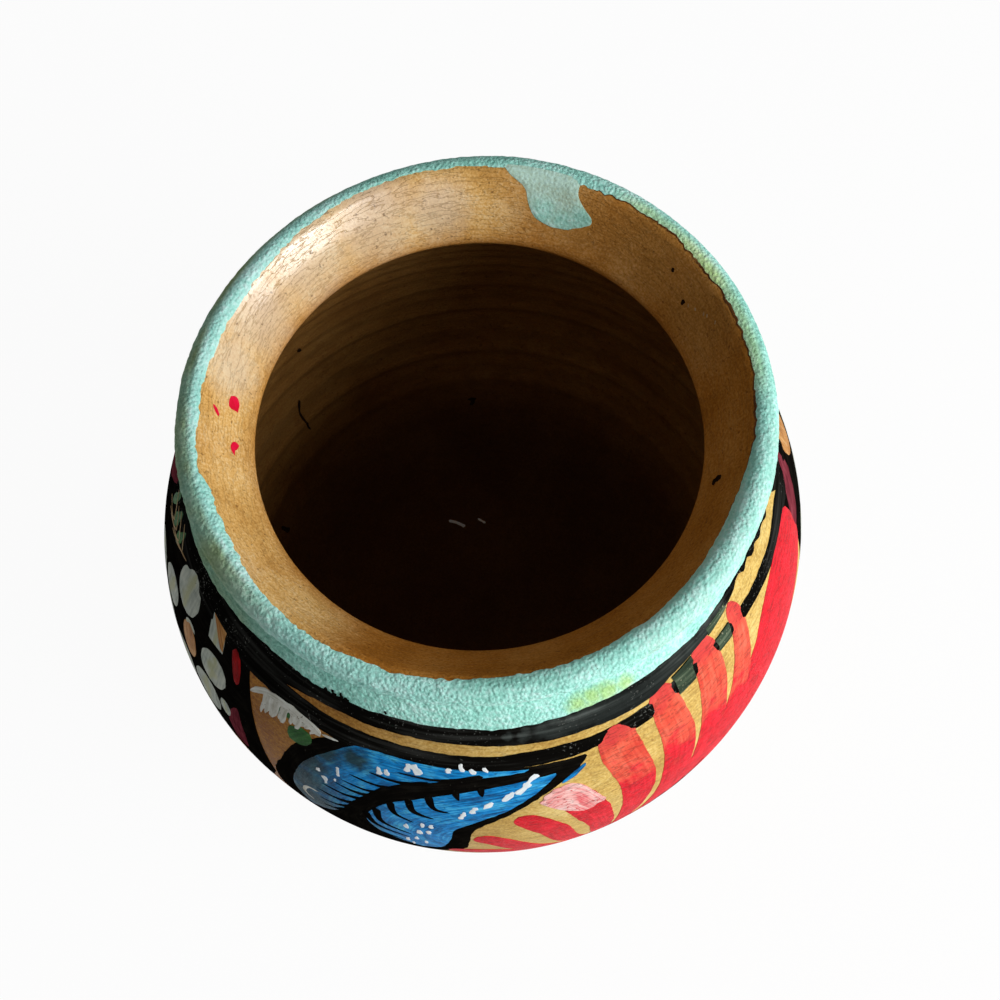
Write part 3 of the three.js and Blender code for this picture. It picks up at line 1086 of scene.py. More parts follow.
# %% Streaked paint
STREAK_STOPS = (0.36, 0.5, 0.64)  # values of the streaks that show a dark, a middle and a pale tone
TIP_REACH = (0.27, 0.42)  # shares of a petal's length between which the colour of its tip ends
RIM_REACH = (0.03, 0.13)
TIP_RIM = rgb(208, 58, 60)  # the paint that the brush left at the very tip of a petal
MIDDLE_REACH = (0.02, 0.22)  # shares of a stroke's width between which the colour of its middle ends


def brush_marks(tree, turned):
    """The streaks of a coat and how loaded its brush was, around the pot or along each stroke."""
    if turned:
        lines = use_group(tree, wheel_lines, Lines_per_mm=1.3, Drift=3.0)
        return lines["Lines"], lines["Broad"]
    return use_group(tree, brush_streaks)


def paint(name, tones, wear, bare, shine, roughness=(0.45, 0.65), depth=0.10, turned=False,
          grain_size=0.45, tip=None, middle=None, tints=(), scratched=0.0, scratch=rgb(70, 26, 20)):
    """Streaked paint from a dark, a middle and a pale tone; `tints` are other tones and their spots."""
    finish, tree, shader = new_finish(name)
    grain = use_group(tree, sand_grain, Size_mm=grain_size)
    streaks, load = brush_marks(tree, turned)
    mixed = weighted(tree, (streaks, 0.5), (load, 0.5))
    colour = ramp(tree, mixed, STREAK_STOPS, tones)
    if tip or middle:
        along, across, _ = split(tree, add_node(tree, "UVMap", {"uv_map": "Fraction"}).outputs[0])
        shift = times(tree, calc(tree, "SUBTRACT", load, 0.5), 0.6)
    if tip:
        share = spread(tree, plus(tree, along, shift), *TIP_REACH, 1.0, 0.0)
        colour = blend(tree, share, colour, ramp(tree, mixed, STREAK_STOPS, tip))
        rim = spread(tree, plus(tree, along, times(tree, shift, 0.3)), *RIM_REACH, 0.75, 0.0)
        colour = blend(tree, rim, colour, TIP_RIM)
    if middle:
        aside = calc(tree, "ABSOLUTE", calc(tree, "SUBTRACT", plus(tree, across, shift), 0.5))
        colour = blend(tree, spread(tree, aside, *MIDDLE_REACH, 0.7, 0.0), colour, middle)
    for tint, spots in tints:
        colour = blend(tree, near_spots(tree, spots), colour, ramp(tree, mixed, STREAK_STOPS, tint))
    rubbed = use_group(tree, worn_thin, Wear=wear, Size_mm=grain_size)["Bare"]
    colour = blend(tree, rubbed, colour, bare)
    heights = [(streaks, 0.35), (grain["Height"], 0.65)]
    if scratched:
        creases = use_group(tree, wheel_lines, Lines_per_mm=1.6, Drift=12.0)["Wrinkles"]
        colour = tinge(tree, colour, creases, scratched, scratch)
        heights.append((creases, -0.3))
    feed(tree, shader.inputs["Base Color"], colour)
    feed(tree, shader.inputs["Roughness"], spread(tree, grain["Height"], *GRAIN_HEIGHTS, *roughness))
    shader.inputs["Specular IOR Level"].default_value = shine
    raise_bump(tree, shader, depth, *heights)
    return finish


print("tones of the streaks at", STREAK_STOPS)

# %% Paints of the bands, strokes and marks
# Grey-white on the front right of the bands: partly wear, partly a painted sheen where the lamp glints.
WORN_AND_SHEEN_BLACK = (rgb(26, 29, 28), rgb(46, 50, 48), rgb(84, 89, 86))
WORN_AND_SHEEN_SPOTS = twice([(turn, 9.0, min(4.4, 0.9 + 0.16 * turn)) for turn in range(3, 52, 3)])
TEAL = (rgb(10, 36, 46), rgb(23, 60, 72), rgb(50, 90, 102))
TEAL_SPOTS = twice([
    (-31, 22, 7), (-34, 28, 10), (-35, 36, 13), (-33, 45, 13), (-26, 49, 10), (-25, 20, 5),
])
CORAL = (rgb(212, 62, 46), rgb(228, 88, 64), rgb(238, 112, 86))
WORN_AND_SHEEN = (WORN_AND_SHEEN_BLACK, WORN_AND_SHEEN_SPOTS)
SHADED = (TEAL, TEAL_SPOTS)
PAINTS = {  # a dark, a middle and a pale tone, the wear, what shows where it is worn, and the shine
    "brushed_black_band": ((9, 8, 7), (15, 14, 12), (46, 46, 44), 0.5, (98, 99, 95), 0.0),
    "brushed_black": ((10, 9, 7), (15, 13, 11), (26, 24, 20), 0.4, (60, 58, 52), 0.0),
    "thin_greenish_black": ((32, 42, 34), (62, 76, 60), (104, 116, 94), 0.6, (148, 146, 122), 0.0),
    "petal_red": ((188, 4, 20), (216, 8, 32), (232, 30, 50), 0.14, (232, 92, 76), 0.1),
    "petal_crimson": ((188, 4, 20), (216, 8, 32), (232, 30, 50), 0.2, (232, 80, 76), 0.1),
    "petal_pink": ((228, 100, 104), (242, 178, 172), (250, 226, 220), 0.62, (210, 34, 44), 0.2),
    "leaf_blue": ((4, 76, 130), (6, 138, 214), (80, 192, 236), 0.2, (10, 44, 66), 0.06),
    "dab_white": ((212, 224, 230), (236, 244, 246), (248, 250, 250), 0.12, (150, 180, 196), 0.06),
    "dry_brushed_white": ((168, 166, 150), (206, 206, 196), (230, 232, 226), 0.46, (96, 84, 58), 0.06),
    "cell_grey_white": ((142, 150, 140), (180, 188, 176), (208, 212, 198), 0.36, (104, 108, 96), 0.06),
    "cell_ochre": ((140, 88, 38), (184, 126, 62), (212, 164, 104), 0.3, (110, 68, 30), 0.06),
    "stroke_maroon": ((80, 32, 40), (114, 46, 56), (140, 66, 76), 0.45, (46, 22, 24), 0.0),
    "stroke_deep_red": ((108, 4, 8), (148, 6, 12), (182, 18, 22), 0.15, (60, 10, 12), 0.02),
    "leaf_green": ((20, 56, 22), (36, 86, 34), (66, 114, 58), 0.25, (90, 70, 30), 0.06),
    "speck_crimson": ((200, 4, 40), (224, 10, 56), (232, 36, 76), 0.05, (226, 90, 90), 0.15),
    "thin_tan": ((150, 118, 76), (186, 156, 112), (214, 190, 150), 0.3, (96, 76, 48), 0.06),
    "dark_coat_edge_line": ((66, 38, 18), (92, 56, 27), (118, 77, 40), 0.62, (150, 104, 58), 0.06),
    "dark_pit": ((26, 15, 8), (38, 24, 12), (54, 35, 18), 0.1, (84, 54, 28), 0.0),
}
PAINT_SETTINGS = {
    "brushed_black_band": dict(roughness=(0.3, 0.55), depth=0.08, turned=True, tints=[WORN_AND_SHEEN]),
    "brushed_black": dict(roughness=(0.35, 0.6), depth=0.14),
    "thin_greenish_black": dict(turned=True),
    "petal_red": dict(depth=0.16, tip=CORAL, scratched=0.45),
    "petal_crimson": dict(depth=0.16, scratched=0.45),
    "petal_pink": dict(depth=0.16, grain_size=0.8, scratched=0.5),
    "leaf_blue": dict(tints=[SHADED], scratched=0.5, scratch=rgb(8, 30, 46)),
    "cell_grey_white": dict(middle=rgb(176, 178, 130)),
}
paints = {}
for name, (*tones, wear, bare, shine) in PAINTS.items():
    settings = PAINT_SETTINGS.get(name, {})
    paints[name] = paint(name, [rgb(*tone) for tone in tones], wear, rgb(*bare), shine, **settings)
print(len(paints), "paints")

# %% Stretches of the lip
LIP_TOP = (104.4, 106.2)  # heights between which the lip's outside turns into its top
LEFT_SHADE_TURNS = (-168, -140, -66, -36)  # degrees where the olive painted shade starts, is full, is still full and ends
LEFT_SHADE_RADIUS = (47.0, 48.6)  # from the top of the lip to its outer face
LIME_TURNS = (86, 100, 136, 150)
LIME_RADIUS = (LIP_RADIUS - LIP_ROUND - 0.6, LIP_RADIUS - LIP_ROUND + 1.4)


def soft_window(tree, turns):
    """A soft window over four turns, with each place's distance from the axis and its height."""
    x, y, z = split(tree, place_in_mm(tree))
    turn = calc(tree, "ARCTAN2", x, times(tree, y, -1.0))
    starts, full, still_full, ends = (math.radians(angle) for angle in turns)
    window = times(tree, spread(tree, turn, starts, full), spread(tree, turn, still_full, ends, 1.0, 0.0))
    return window, from_axis(tree, x, y), z


def shaded_left_outside(tree):
    """A soft mask over the outer face of the lip and neck at the left, where the turquoise is painted olive
    as shade.
    """
    window, radius, height = soft_window(tree, LEFT_SHADE_TURNS)
    below_top = spread(tree, height, *LIP_TOP, 1.0, 0.0)
    return times(tree, window, calc(tree, "MAXIMUM", spread(tree, radius, *LEFT_SHADE_RADIUS), below_top))


def right_inside(tree):
    """A soft mask over the inner half of the lip at the back right, where the turquoise dried lime."""
    window, radius, height = soft_window(tree, LIME_TURNS)
    inside = times(tree, spread(tree, radius, *LIME_RADIUS, 1.0, 0.0), spread(tree, height, *LIP_TOP))
    return times(tree, window, inside)


print("painted olive shade on the lip over", LEFT_SHADE_TURNS[-1] - LEFT_SHADE_TURNS[0], "degrees")

# %% Chalky paint
CHALK_SHINE = 0.12


def chalky_paint(name, tones, bare, depth, tints, shade_and_stains=()):
    """Thick sandy paint; `tints` are other tones and their spots, and the last argument gives tones and
    their masks. Some of both are painted light and painted shade.
    """
    finish, tree, shader = new_finish(name)
    lines = use_group(tree, wheel_lines, Lines_per_mm=1.1, Drift=9.0)
    grain = use_group(tree, sand_grain, Size_mm=0.62)
    tone = weighted(tree, (grain["Height"], 0.42), (grain["Blotches"], 0.33), (lines["Lines"], 0.25))
    colour = ramp(tree, tone, GRAIN_STOPS, tones)
    for tint, spots in tints:
        mask = near_spots(tree, spots, 2.5)
        colour = tinge(tree, colour, mask, 0.85, ramp(tree, tone, GRAIN_STOPS, tint))
    for masked_tone, where in shade_and_stains:
        patchy = spread(tree, grain["Blotches"], 0.36, 0.6, 0.5, 0.95)
        colour = tinge(tree, colour, where(tree), patchy, ramp(tree, tone, GRAIN_STOPS, masked_tone))
    rubbed = use_group(tree, worn_thin, Wear=0.38, Size_mm=0.36)["Bare"]
    feed(tree, shader.inputs["Base Color"], blend(tree, rubbed, colour, bare))
    feed(tree, shader.inputs["Roughness"], spread(tree, grain["Height"], *GRAIN_HEIGHTS, 0.9, 0.65))
    shader.inputs["Specular IOR Level"].default_value = CHALK_SHINE
    heights = ((grain["Pebbles"], 0.35), (grain["Height"], 0.6), (lines["Lines"], 0.35))
    raise_bump(tree, shader, depth, *heights)
    return finish


print("shine of the chalky paint", CHALK_SHINE)

# %% Turquoise of the lip
TURQUOISE = (rgb(128, 196, 180), rgb(168, 232, 218), rgb(208, 247, 240))
# Painted light: paler turquoise on the shaded inner side of the lip at the right.
PAINTED_LIGHT_INNER_TURQUOISE = (rgb(140, 216, 200), rgb(172, 238, 224), rgb(206, 248, 240))
# Painted light: paler turquoise over the left of the lip and the front left of the neck.
PAINTED_LIGHT_LEFT_TURQUOISE = (rgb(144, 214, 202), rgb(182, 240, 230), rgb(214, 250, 246))
# Painted shade: olive turquoise on the shaded left outside of the lip.
PAINTED_SHADE_OLIVE_TURQUOISE = (rgb(114, 130, 78), rgb(138, 156, 102), rgb(160, 182, 130))
# Painted shade: duller turquoise on the outer right, toning down the lamp's light there.
PAINTED_SHADE_MINT_TURQUOISE = (rgb(142, 184, 168), rgb(168, 204, 190), rgb(194, 218, 208))
LIME_TURQUOISE = (rgb(158, 200, 112), rgb(178, 216, 132), rgb(198, 230, 164))
PALE_LIME = (rgb(184, 222, 136), rgb(204, 238, 162), rgb(220, 247, 190))
RUN_TONES = (rgb(172, 188, 162), rgb(188, 220, 202), rgb(202, 238, 228))
LIME_SPOTS = ((17, 5.2, 3.0), (20, 5.0, 3.2), (23, 5.0, 3.2), (27, 5.2, 2.8))
PAINTED_LIGHT_INNER_SPOTS = (
    (20, -17.4, 5), (28, -17.4, 6), (37, -17.6, 6), (46, -17.8, 6), (55, -18, 6), (64, -18, 6),
    (73, -17.6, 6), (82, -17, 5),
)
PAINTED_SHADE_MINT_SPOTS = tuple((turn, -10.5, 6.0) for turn in range(32, 82, 6))
PAINTED_LIGHT_LEFT_SPOTS = (
    *((turn, -15.5, 7.0) for turn in range(-150, -50, 5)),
    *((turn, -9.0, 12.0) for turn in range(-54, -10, 8)),
)
RUN_END_SPOTS = ((162, -24.6, 4.4), (156.5, -25.4, 4.2), (152.5, -23.6, 3.6))
# The first three tints are painted light and painted shade; the lime is the paint's own colour.
LIP_TINTS = (
    (PAINTED_LIGHT_LEFT_TURQUOISE, PAINTED_LIGHT_LEFT_SPOTS),
    (PAINTED_LIGHT_INNER_TURQUOISE, PAINTED_LIGHT_INNER_SPOTS),
    (PAINTED_SHADE_MINT_TURQUOISE, PAINTED_SHADE_MINT_SPOTS),
    (LIME_TURQUOISE, LIME_SPOTS),
)
# The olive is painted shade; the lime is the paint's own colour.
LIP_SHADE_AND_STAINS = ((PAINTED_SHADE_OLIVE_TURQUOISE, shaded_left_outside), (PALE_LIME, right_inside))
RUN_TINTS = ((TURQUOISE, RUN_END_SPOTS),)
turquoise = chalky_paint("chalky_turquoise", TURQUOISE, rgb(98, 142, 118), 0.34, LIP_TINTS, LIP_SHADE_AND_STAINS)
thin_turquoise = chalky_paint("thin_turquoise", RUN_TONES, rgb(176, 158, 122), 0.15, RUN_TINTS)
print(len(bpy.data.materials), "finishes")

# %% [markdown]
# ## The turquoise lip
# The thickest paint is on the lip: a chalky coat brushed over it as the pot turned, from just inside the
# mouth down the neck to the shoulder. Its inner edge is ragged, and at the back right some of it ran down
# the funnel in a blunt tongue. The coat is one closed ring of film whose two edges are drawn through a
# few places around the pot; its sandy face is moved point by point with noise, and only the finest grain
# is left to the bump.

# %% Edges around the pot
SWAYS_AROUND = 60  # slow waves of an edge, once around the pot
TREMBLES_AROUND = 280  # quick ones


def ring_edge(places, turns, tremble, fine):
    """The run of an edge at turns around the pot, through (turn, run) places, with a hand's tremble."""
    spots = sorted(places)
    first, last = spots[0], spots[-1]
    around = [(last[0] - 360, last[1]), *spots, (first[0] + 360, first[1])]
    base = np.interp(turns, *zip(*around))
    sways = tremble * wander(len(turns), SWAYS_AROUND, True)
    return base + sways + fine * wander(len(turns), TREMBLES_AROUND, True)


def ring_film(coat, turns, top_edge, low_edge, face, step=STEP, power=8):
    """A coat all around the pot between two edges; `face` gives how thick it is at each point."""
    rows = max(5, round(float(np.max(low_edge - top_edge)) / step))
    down = np.linspace(0, 1, rows + 1)[:, None]
    run = top_edge * (1 - down) + low_edge * down
    turn = np.tile(turns, (rows + 1, 1))
    along = turn * mm_per_degree(run)
    coat.film(turn, run, crowned(2 * down - 1, power) * face(turn, run), along, run, closed=True)


def columns_around(radius, step=STEP):
    return int(2 * math.pi * radius / step) + 1


print("columns around the lip:", columns_around(LIP_RADIUS))

# %% Lip coat and its run
GRAIN = 0.9  # mm across
RIDGES_DOWN = 1.3  # brush ridges for each mm down the coat
RIDGES_AROUND = 0.09  # and how often they change for each degree around it
SANDY = (-52, 38)  # where the coat is coarsest: its turn and spread
LEAST_SAND = 0.26  # how far the grains move the coat's face, as a share of its thickness
MORE_SAND = 0.5  # how much farther where it is coarsest
RIDGE_SHARE = 0.3  # how far the brush ridges move it
MEAN_SHARE = 0.62
CRUMBLED = (-66, 15)  # where the inner edge broke into teeth: its turn and spread
TEETH_AROUND = 330
NOTCHES_AROUND = 560  # finer breaks, all along the inner edge
LIP_STEP = 0.45
LIP_INNER_EDGE = (
    (-180, -16.9), (-160, -16.6), (-140, -17.2), (-128, -18.2), (-105, -18.3), (-88, -17.9),
    (-78, -17.6), (-74, -19.4), (-66, -19.2), (-60, -18.6), (-54, -17.7), (-40, -16.9), (-18, -16.9),
    (0, -17.6), (20, -17.8), (32, -18.4), (46, -19.3), (56, -19.8), (66, -19.6), (73, -19.0),
    (80, -18.0), (95, -17.5), (115, -17.3), (135, -17.1), (155, -17.4),
)
LIP_LOWER_EDGE = (
    (-180, 8.0), (-120, 9.0), (-90, 11.6), (-80, 11.6), (-70, 10.8), (-60, 9.4), (-50, 8.1), (-40, 7.4),
    (-20, 7.3), (0, 7.6), (20, 7.2), (32, 6.9), (55, 6.5), (65, 7.2), (75, 8.4), (100, 8.8), (140, 8.0),
)
RUN_EDGES = (
    ((172.5, -16.6), (170.4, -18.4), (167.0, -20.5), (165.6, -23.6), (163.5, -26.0), (160.0, -26.9)),
    ((155.0, -16.6), (154.8, -19.4), (152.6, -21.4), (150.2, -22.8), (150.4, -24.2), (155.0, -26.5)),
)


def noise_at(places, shape):
    return np.array([noise.noise(Vector(place)) for place in places]).reshape(shape)


def sandy(turn, run):
    """How thick the coat is: brush ridges around the lip, and grains, coarsest at the front left."""
    grains = noise_at(on_vase(turn, run, 0.0).reshape(-1, 3) / GRAIN, turn.shape)
    pairs = zip(run.flat, turn.flat)
    along_ridges = [(RIDGES_DOWN * place, RIDGES_AROUND * angle, 3.0) for place, angle in pairs]
    coarse = LEAST_SAND + MORE_SAND * bell(turn - SANDY[0], SANDY[1])
    return MEAN_SHARE + coarse * grains + RIDGE_SHARE * noise_at(along_ridges, turn.shape)


lip_coat = Coat("lip_paint", turquoise, "turquoise_paint", lift=0.06, thickness=0.34)
lip_columns = columns_around(LIP_RADIUS, LIP_STEP)
lip_turns = np.linspace(-180, 180, lip_columns)
inner_edge = ring_edge(LIP_INNER_EDGE, lip_turns, 0.22, 0.16)
notches = 0.16 * wander(lip_columns, NOTCHES_AROUND, True)
crumbled = bell(lip_turns - CRUMBLED[0], CRUMBLED[1])
inner_edge += notches + 0.5 * crumbled * wander(lip_columns, TEETH_AROUND, True)
lower_edge = ring_edge(LIP_LOWER_EDGE, lip_turns, 0.2, 0.15)
ring_film(lip_coat, lip_turns, inner_edge, lower_edge, sandy, step=LIP_STEP, power=14)
lip_coat.finish_piece("rim_coat")

run_coat = Coat("lip_paint_run", thin_turquoise, "turquoise_paint", lift=0.05, thickness=0.16)
patch(run_coat, *RUN_EDGES, 0.12)
run_coat.finish_piece("rim_coat_run")

# %% Dark line along the lip coat
LINE_TURNS = (58, 152)
LINE_WIDTH = 0.32
LINE_WAVES = 16  # how often it swells and thins
LINE_LAP = 0.25  # how far the line goes under the coat
LINE_ROWS = 4
# a darker line along the lip coat's inner edge on the right, where it meets bare clay
edge_line = Coat("lip_edge_line", paints["dark_coat_edge_line"], "terracotta", lift=0.01, thickness=0.05)
along_line = np.flatnonzero((lip_turns > LINE_TURNS[0]) & (lip_turns < LINE_TURNS[1]))
swelling = np.sin(np.linspace(0, math.pi, len(along_line))) ** 0.5
line_width = LINE_WIDTH * swelling * (1 + 0.6 * wander(len(along_line), LINE_WAVES)) + THINNEST
line_down = np.linspace(0, 1, LINE_ROWS)[:, None]
line_turn = np.tile(lip_turns[along_line], (LINE_ROWS, 1))
line_run = inner_edge[along_line] + LINE_LAP - (1 - line_down) * (line_width + LINE_LAP)
line_share = crowned(2 * line_down - 1) * np.ones_like(line_turn)
edge_line.film(line_turn, line_run, line_share, line_turn, line_run)
edge_line.finish_piece()

# %% [markdown]
# ## The neck bands
# Two black bands ring the shoulder under the turquoise, with a thin line of bare clay left between them.
# They were brushed freehand on the turning pot, so the bare line swells and thins, closes where the next
# motif begins, and opens wide on the right. The same edges come round twice, because the pot carries its
# motifs twice.

# %% Black bands
BAND_COLUMNS = 640
BAND_LAP = 0.45  # how far the upper band goes over the lip coat
DASHED = (54, 60, 79, 82)  # turns where the upper band starts to break, is dashed, still is, and is whole
DASHES_AROUND = 170
GAP_HEAD = twice([
    (-98, 13.0), (-60, 12.6), (-46, 12.2), (-41, 11.4), (-35, 10.3), (-25, 10.0), (-15, 9.9), (0, 10.8),
    (10, 11.3), (25, 11.7), (31, 11.8), (36, 10.2), (43, 9.4), (50, 8.6), (56, 8.2), (62, 8.0),
    (70, 8.7), (79, 9.6),
])
GAP_FOOT = twice([
    (-98, 12.2), (-60, 12.0), (-46, 11.6), (-41, 11.6), (-35, 12.1), (-20, 12.4), (0, 13.2), (20, 13.4),
    (31, 12.6), (38, 11.6), (50, 12.0), (60, 12.5), (70, 12.5), (79, 11.4),
])
BAND_FOOT = twice([
    (-98, 17.6), (-60, 16.2), (-46, 15.7), (-30, 16.8), (-20, 16.4), (0, 17.0), (15, 16.8), (28, 17.0),
    (38, 15.6), (50, 15.0), (60, 16.1), (79, 16.0),
])


def full_thickness(turn, _):
    return np.ones_like(turn)


band_turns = np.linspace(-180, 180, BAND_COLUMNS)
band_head = np.interp(band_turns, lip_turns, lower_edge) - BAND_LAP
half_turn = band_turns % 180
dashed = ease(half_turn, *DASHED[:2]) * (1 - ease(half_turn, *DASHED[2:]))
dashes = dashed * np.clip(0.5 + 1.4 * wander(BAND_COLUMNS, DASHES_AROUND, True), 0, 0.95)
gap_head = np.maximum(ring_edge(GAP_HEAD, band_turns, 0.16, 0.1), band_head + BAND_LAP)
gap_head = gap_head + (band_head + BAND_LAP + THINNEST - gap_head) * dashes
band_black = paints["brushed_black_band"]
upper_band = Coat("neck_band_upper_paint", band_black, "black_paint", lift=0.16, thickness=0.06)
ring_film(upper_band, band_turns, band_head, gap_head, full_thickness)
upper_band.finish_piece("neck_band_upper")
lower_band = Coat("neck_band_lower_paint", band_black, "black_paint", lift=0.04, thickness=0.05)
gap_foot = ring_edge(GAP_FOOT, band_turns, 0.16, 0.1)
band_foot = ring_edge(BAND_FOOT, band_turns, 0.2, 0.14)
ring_film(lower_band, band_turns, gap_foot, band_foot, full_thickness)
lower_band.finish_piece("neck_band_lower")

# %% [markdown]
# ## The motifs
# The belly carries a fan-shaped red flower, a barbed blue leaf, a small green leaf with white strokes and
# a net of pale cells. Such motifs are common folk brushwork, so they are drawn here with strokes of their
# own rather than traced. They are laid in the painter's order: dark grounds first, then colours, then
# dark lines, then white dabs, and each layer lies a little higher than the one it covers. Every motif is
# a function of the turn it is drawn at, because the back of the pot carries the same family.

# %% Coats for the motifs
FRONT_AND_BACK = (0, 180)  # the turns at which each motif is drawn
GROUND = (0.03, 0.03)  # a layer's lift and thickness
UNDER_COLOUR = (0.065, 0.03)
COLOUR = (0.075, 0.03)
LINE = (0.12, 0.025)
DAB = (0.155, 0.025)
OVER_BANDS = (0.24, 0.03)
COATS = {  # each coat's piece, paint, slot and layer
    "ground": ("leaf_and_net_ground", "brushed_black", "black_paint", GROUND),
    "petal": ("red_petals", "petal_red", "red_paint", COLOUR),
    "crimson": ("crimson_petals", "petal_crimson", "red_paint", UNDER_COLOUR),
    "pink": ("pink_petal_tips", "petal_pink", "red_paint", LINE),
    "blue": ("blue_leaf_lobes", "leaf_blue", "blue_paint", COLOUR),
    "thin": ("thin_band_ends", "thin_greenish_black", "black_paint", OVER_BANDS),
    "deep_red": ("deep_red_strokes", "stroke_deep_red", "red_paint", COLOUR),
    "line": ("black_veins", "brushed_black", "black_paint", LINE),
    "green": ("green_leaves", "leaf_green", "green_paint", COLOUR),
    "grey": ("pale_net_cells", "cell_grey_white", "white_paint", COLOUR),
    "ochre": ("ochre_net_cells", "cell_ochre", "terracotta", COLOUR),
    "maroon": ("maroon_strokes", "stroke_maroon", "red_paint", COLOUR),
    "line_ochre": ("ochre_net_wedges", "cell_ochre", "terracotta", LINE),
    "hair": ("tan_twigs", "thin_tan", "terracotta", LINE),
    "dry": ("dry_white_strokes", "dry_brushed_white", "white_paint", LINE),
    "white": ("white_dabs", "dab_white", "white_paint", DAB),
}
coats = {kind: Coat(name, paints[use], slot, *layer) for kind, (name, use, slot, layer) in COATS.items()}


def shifted(places, turn):
    return [(place[0] + turn, *place[1:]) for place in places]


def draw_stroke(turn, kind, places, widths, tremble, **shape):
    stroke(coats[kind], shifted(places, turn), widths, tremble, **shape)


def draw_patch(turn, kind, edges, tremble):
    patch(coats[kind], *(shifted(edge, turn) for edge in edges), tremble)


print("coats:", ", ".join(coats))

# %% Red flower
# Each petal: places from the tip to the base, and widths in millimetres.
CRIMSON_PETALS = (
    (((-8.5, 54.0), (-2.0, 55.0), (6.0, 60.0), (12.5, 65.5)), (4.4, 5.4, 4.8, 3.6)),
    (((-3.4, 41.6), (1.0, 46.2), (6.0, 54.5), (13.0, 63.5)), (4.6, 5.2, 4.6, 3.6)),
    (
        ((3.7, 32.8), (7.0, 37.5), (10.0, 43.0), (11.6, 50.0), (13.6, 57.0), (16.5, 63.0)),
        (4.6, 5.4, 5.2, 4.4, 3.8, 3.0),
    ),
    (
        ((11.4, 25.0), (14.4, 31.5), (17.0, 40.0), (18.4, 48.0), (18.8, 56.0), (19.8, 63.0)),
        (5.4, 7.0, 6.6, 5.0, 4.2, 3.2),
    ),
)
CORAL_PETALS = (
    (
        ((22.6, 13.3), (23.0, 20.0), (25.0, 30.0), (25.4, 38.0), (24.2, 47.0), (22.8, 56.0), (22.2, 63.0)),
        (6.6, 7.6, 7.2, 7.0, 5.4, 4.0, 3.0),
    ),
    (
        ((33.0, 10.4), (33.6, 18.0), (34.2, 26.0), (33.8, 34.0), (32.0, 45.0), (28.6, 55.0), (24.8, 63.0)),
        (5.2, 6.4, 7.4, 7.2, 6.4, 4.8, 3.2),
    ),
    (
        ((44.4, 8.3), (44.4, 16.0), (43.4, 24.0), (41.8, 32.0), (38.4, 44.0), (33.0, 54.5), (27.4, 63.0)),
        (5.4, 6.3, 6.6, 6.8, 6.4, 5.0, 3.2),
    ),
    (
        ((54.2, 8.5), (54.0, 14.0), (52.6, 20.0), (50.0, 28.0), (45.6, 39.0), (38.4, 51.0), (29.8, 63.5)),
        (3.2, 4.4, 5.8, 6.8, 6.8, 5.6, 3.4),
    ),
)
BROAD_PETAL = (
    (
        (32.0, 58.0), (42.0, 42.0), (50.0, 31.0), (55.0, 25.4), (59.4, 20.7), (66.3, 16.8),
        (74.0, 15.5), (79.4, 16.0),
    ),
    (
        (33.0, 66.0), (42.0, 58.0), (54.0, 51.0), (65.0, 44.5), (72.0, 37.5), (78.0, 31.0),
        (80.8, 24.4), (80.2, 17.0),
    ),
)
PINK_TIP = (
    ((7.6, 28.6), (8.8, 25.8), (11.8, 24.0), (14.8, 25.6), (17.0, 29.6), (18.8, 34.0)),
    ((7.8, 29.2), (9.4, 31.2), (11.0, 33.0), (13.0, 34.8), (15.4, 36.4), (18.6, 35.0)),
)
GREEN_BAND_ENDS = (
    (((36.3, 10.9), (36.5, 15.8)), ((41.3, 9.6), (40.9, 15.4))),
    (((47.6, 11.9), (47.6, 15.2)), ((52.4, 12.0), (51.6, 15.4))),
)
GREEN_SMEAR = (((46.6, 7.4), (46.8, 9.4)), ((53.0, 7.0), (53.4, 8.6)))
HEART = (22.4, 69.0)
HEART_SIZE = (11.0, 7.4)  # half its width in degrees and half its height in millimetres
HEART_DABS = 11
HEART_DABS_OUT = 0.66  # how far out they are, as a share of the heart
LOWER_PETALS = 9  # shorter ones below the heart, out of the camera's sight
LOWER_SPREAD = 160  # degrees between the first and the last of them
LOWER_REACHES = (22.0, 16.0, 6.0)
LOWER_WIDTHS = (4.2, 5.6, 3.2)
PETAL_TREMBLE = 0.22
PETAL_END = 0.8
STAMENS = (((27.0, 63.0), (31.6, 53.0)), ((29.6, 62.0), (35.8, 51.5)), ((32.0, 61.0), (40.0, 49.5)))


def draw_flower(turn):
    for kind, petals in (("crimson", CRIMSON_PETALS), ("petal", CORAL_PETALS)):
        for places, widths in petals:
            draw_stroke(turn, kind, places, widths, PETAL_TREMBLE, end=PETAL_END)
    for step in range(LOWER_PETALS):
        angle = math.radians(-LOWER_SPREAD / 2 + LOWER_SPREAD * step / (LOWER_PETALS - 1))
        way = (math.sin(angle), math.cos(angle))
        places = [(HEART[0] + reach * way[0], HEART[1] + reach * way[1]) for reach in LOWER_REACHES]
        draw_stroke(turn, "petal", places, LOWER_WIDTHS, PETAL_TREMBLE, end=PETAL_END)
    draw_patch(turn, "crimson", BROAD_PETAL, 0.3)
    draw_patch(turn, "pink", PINK_TIP, 0.55)
    for edges in GREEN_BAND_ENDS:
        draw_patch(turn, "thin", edges, 0.5)
    oval(coats["line"], HEART[0] + turn, HEART[1], *HEART_SIZE)
    for places in STAMENS:
        draw_stroke(turn, "line", places, (1.4, 1.0, 0.4), 0.2)
    for step in range(HEART_DABS):
        angle = math.radians(step * 360 / HEART_DABS)
        place = HEART[0] + turn + HEART_DABS_OUT * HEART_SIZE[0] * math.sin(angle)
        run = HEART[1] + HEART_DABS_OUT * HEART_SIZE[1] * math.cos(angle)
        dab(coats["white"], place, run, 1.1, 1.5)


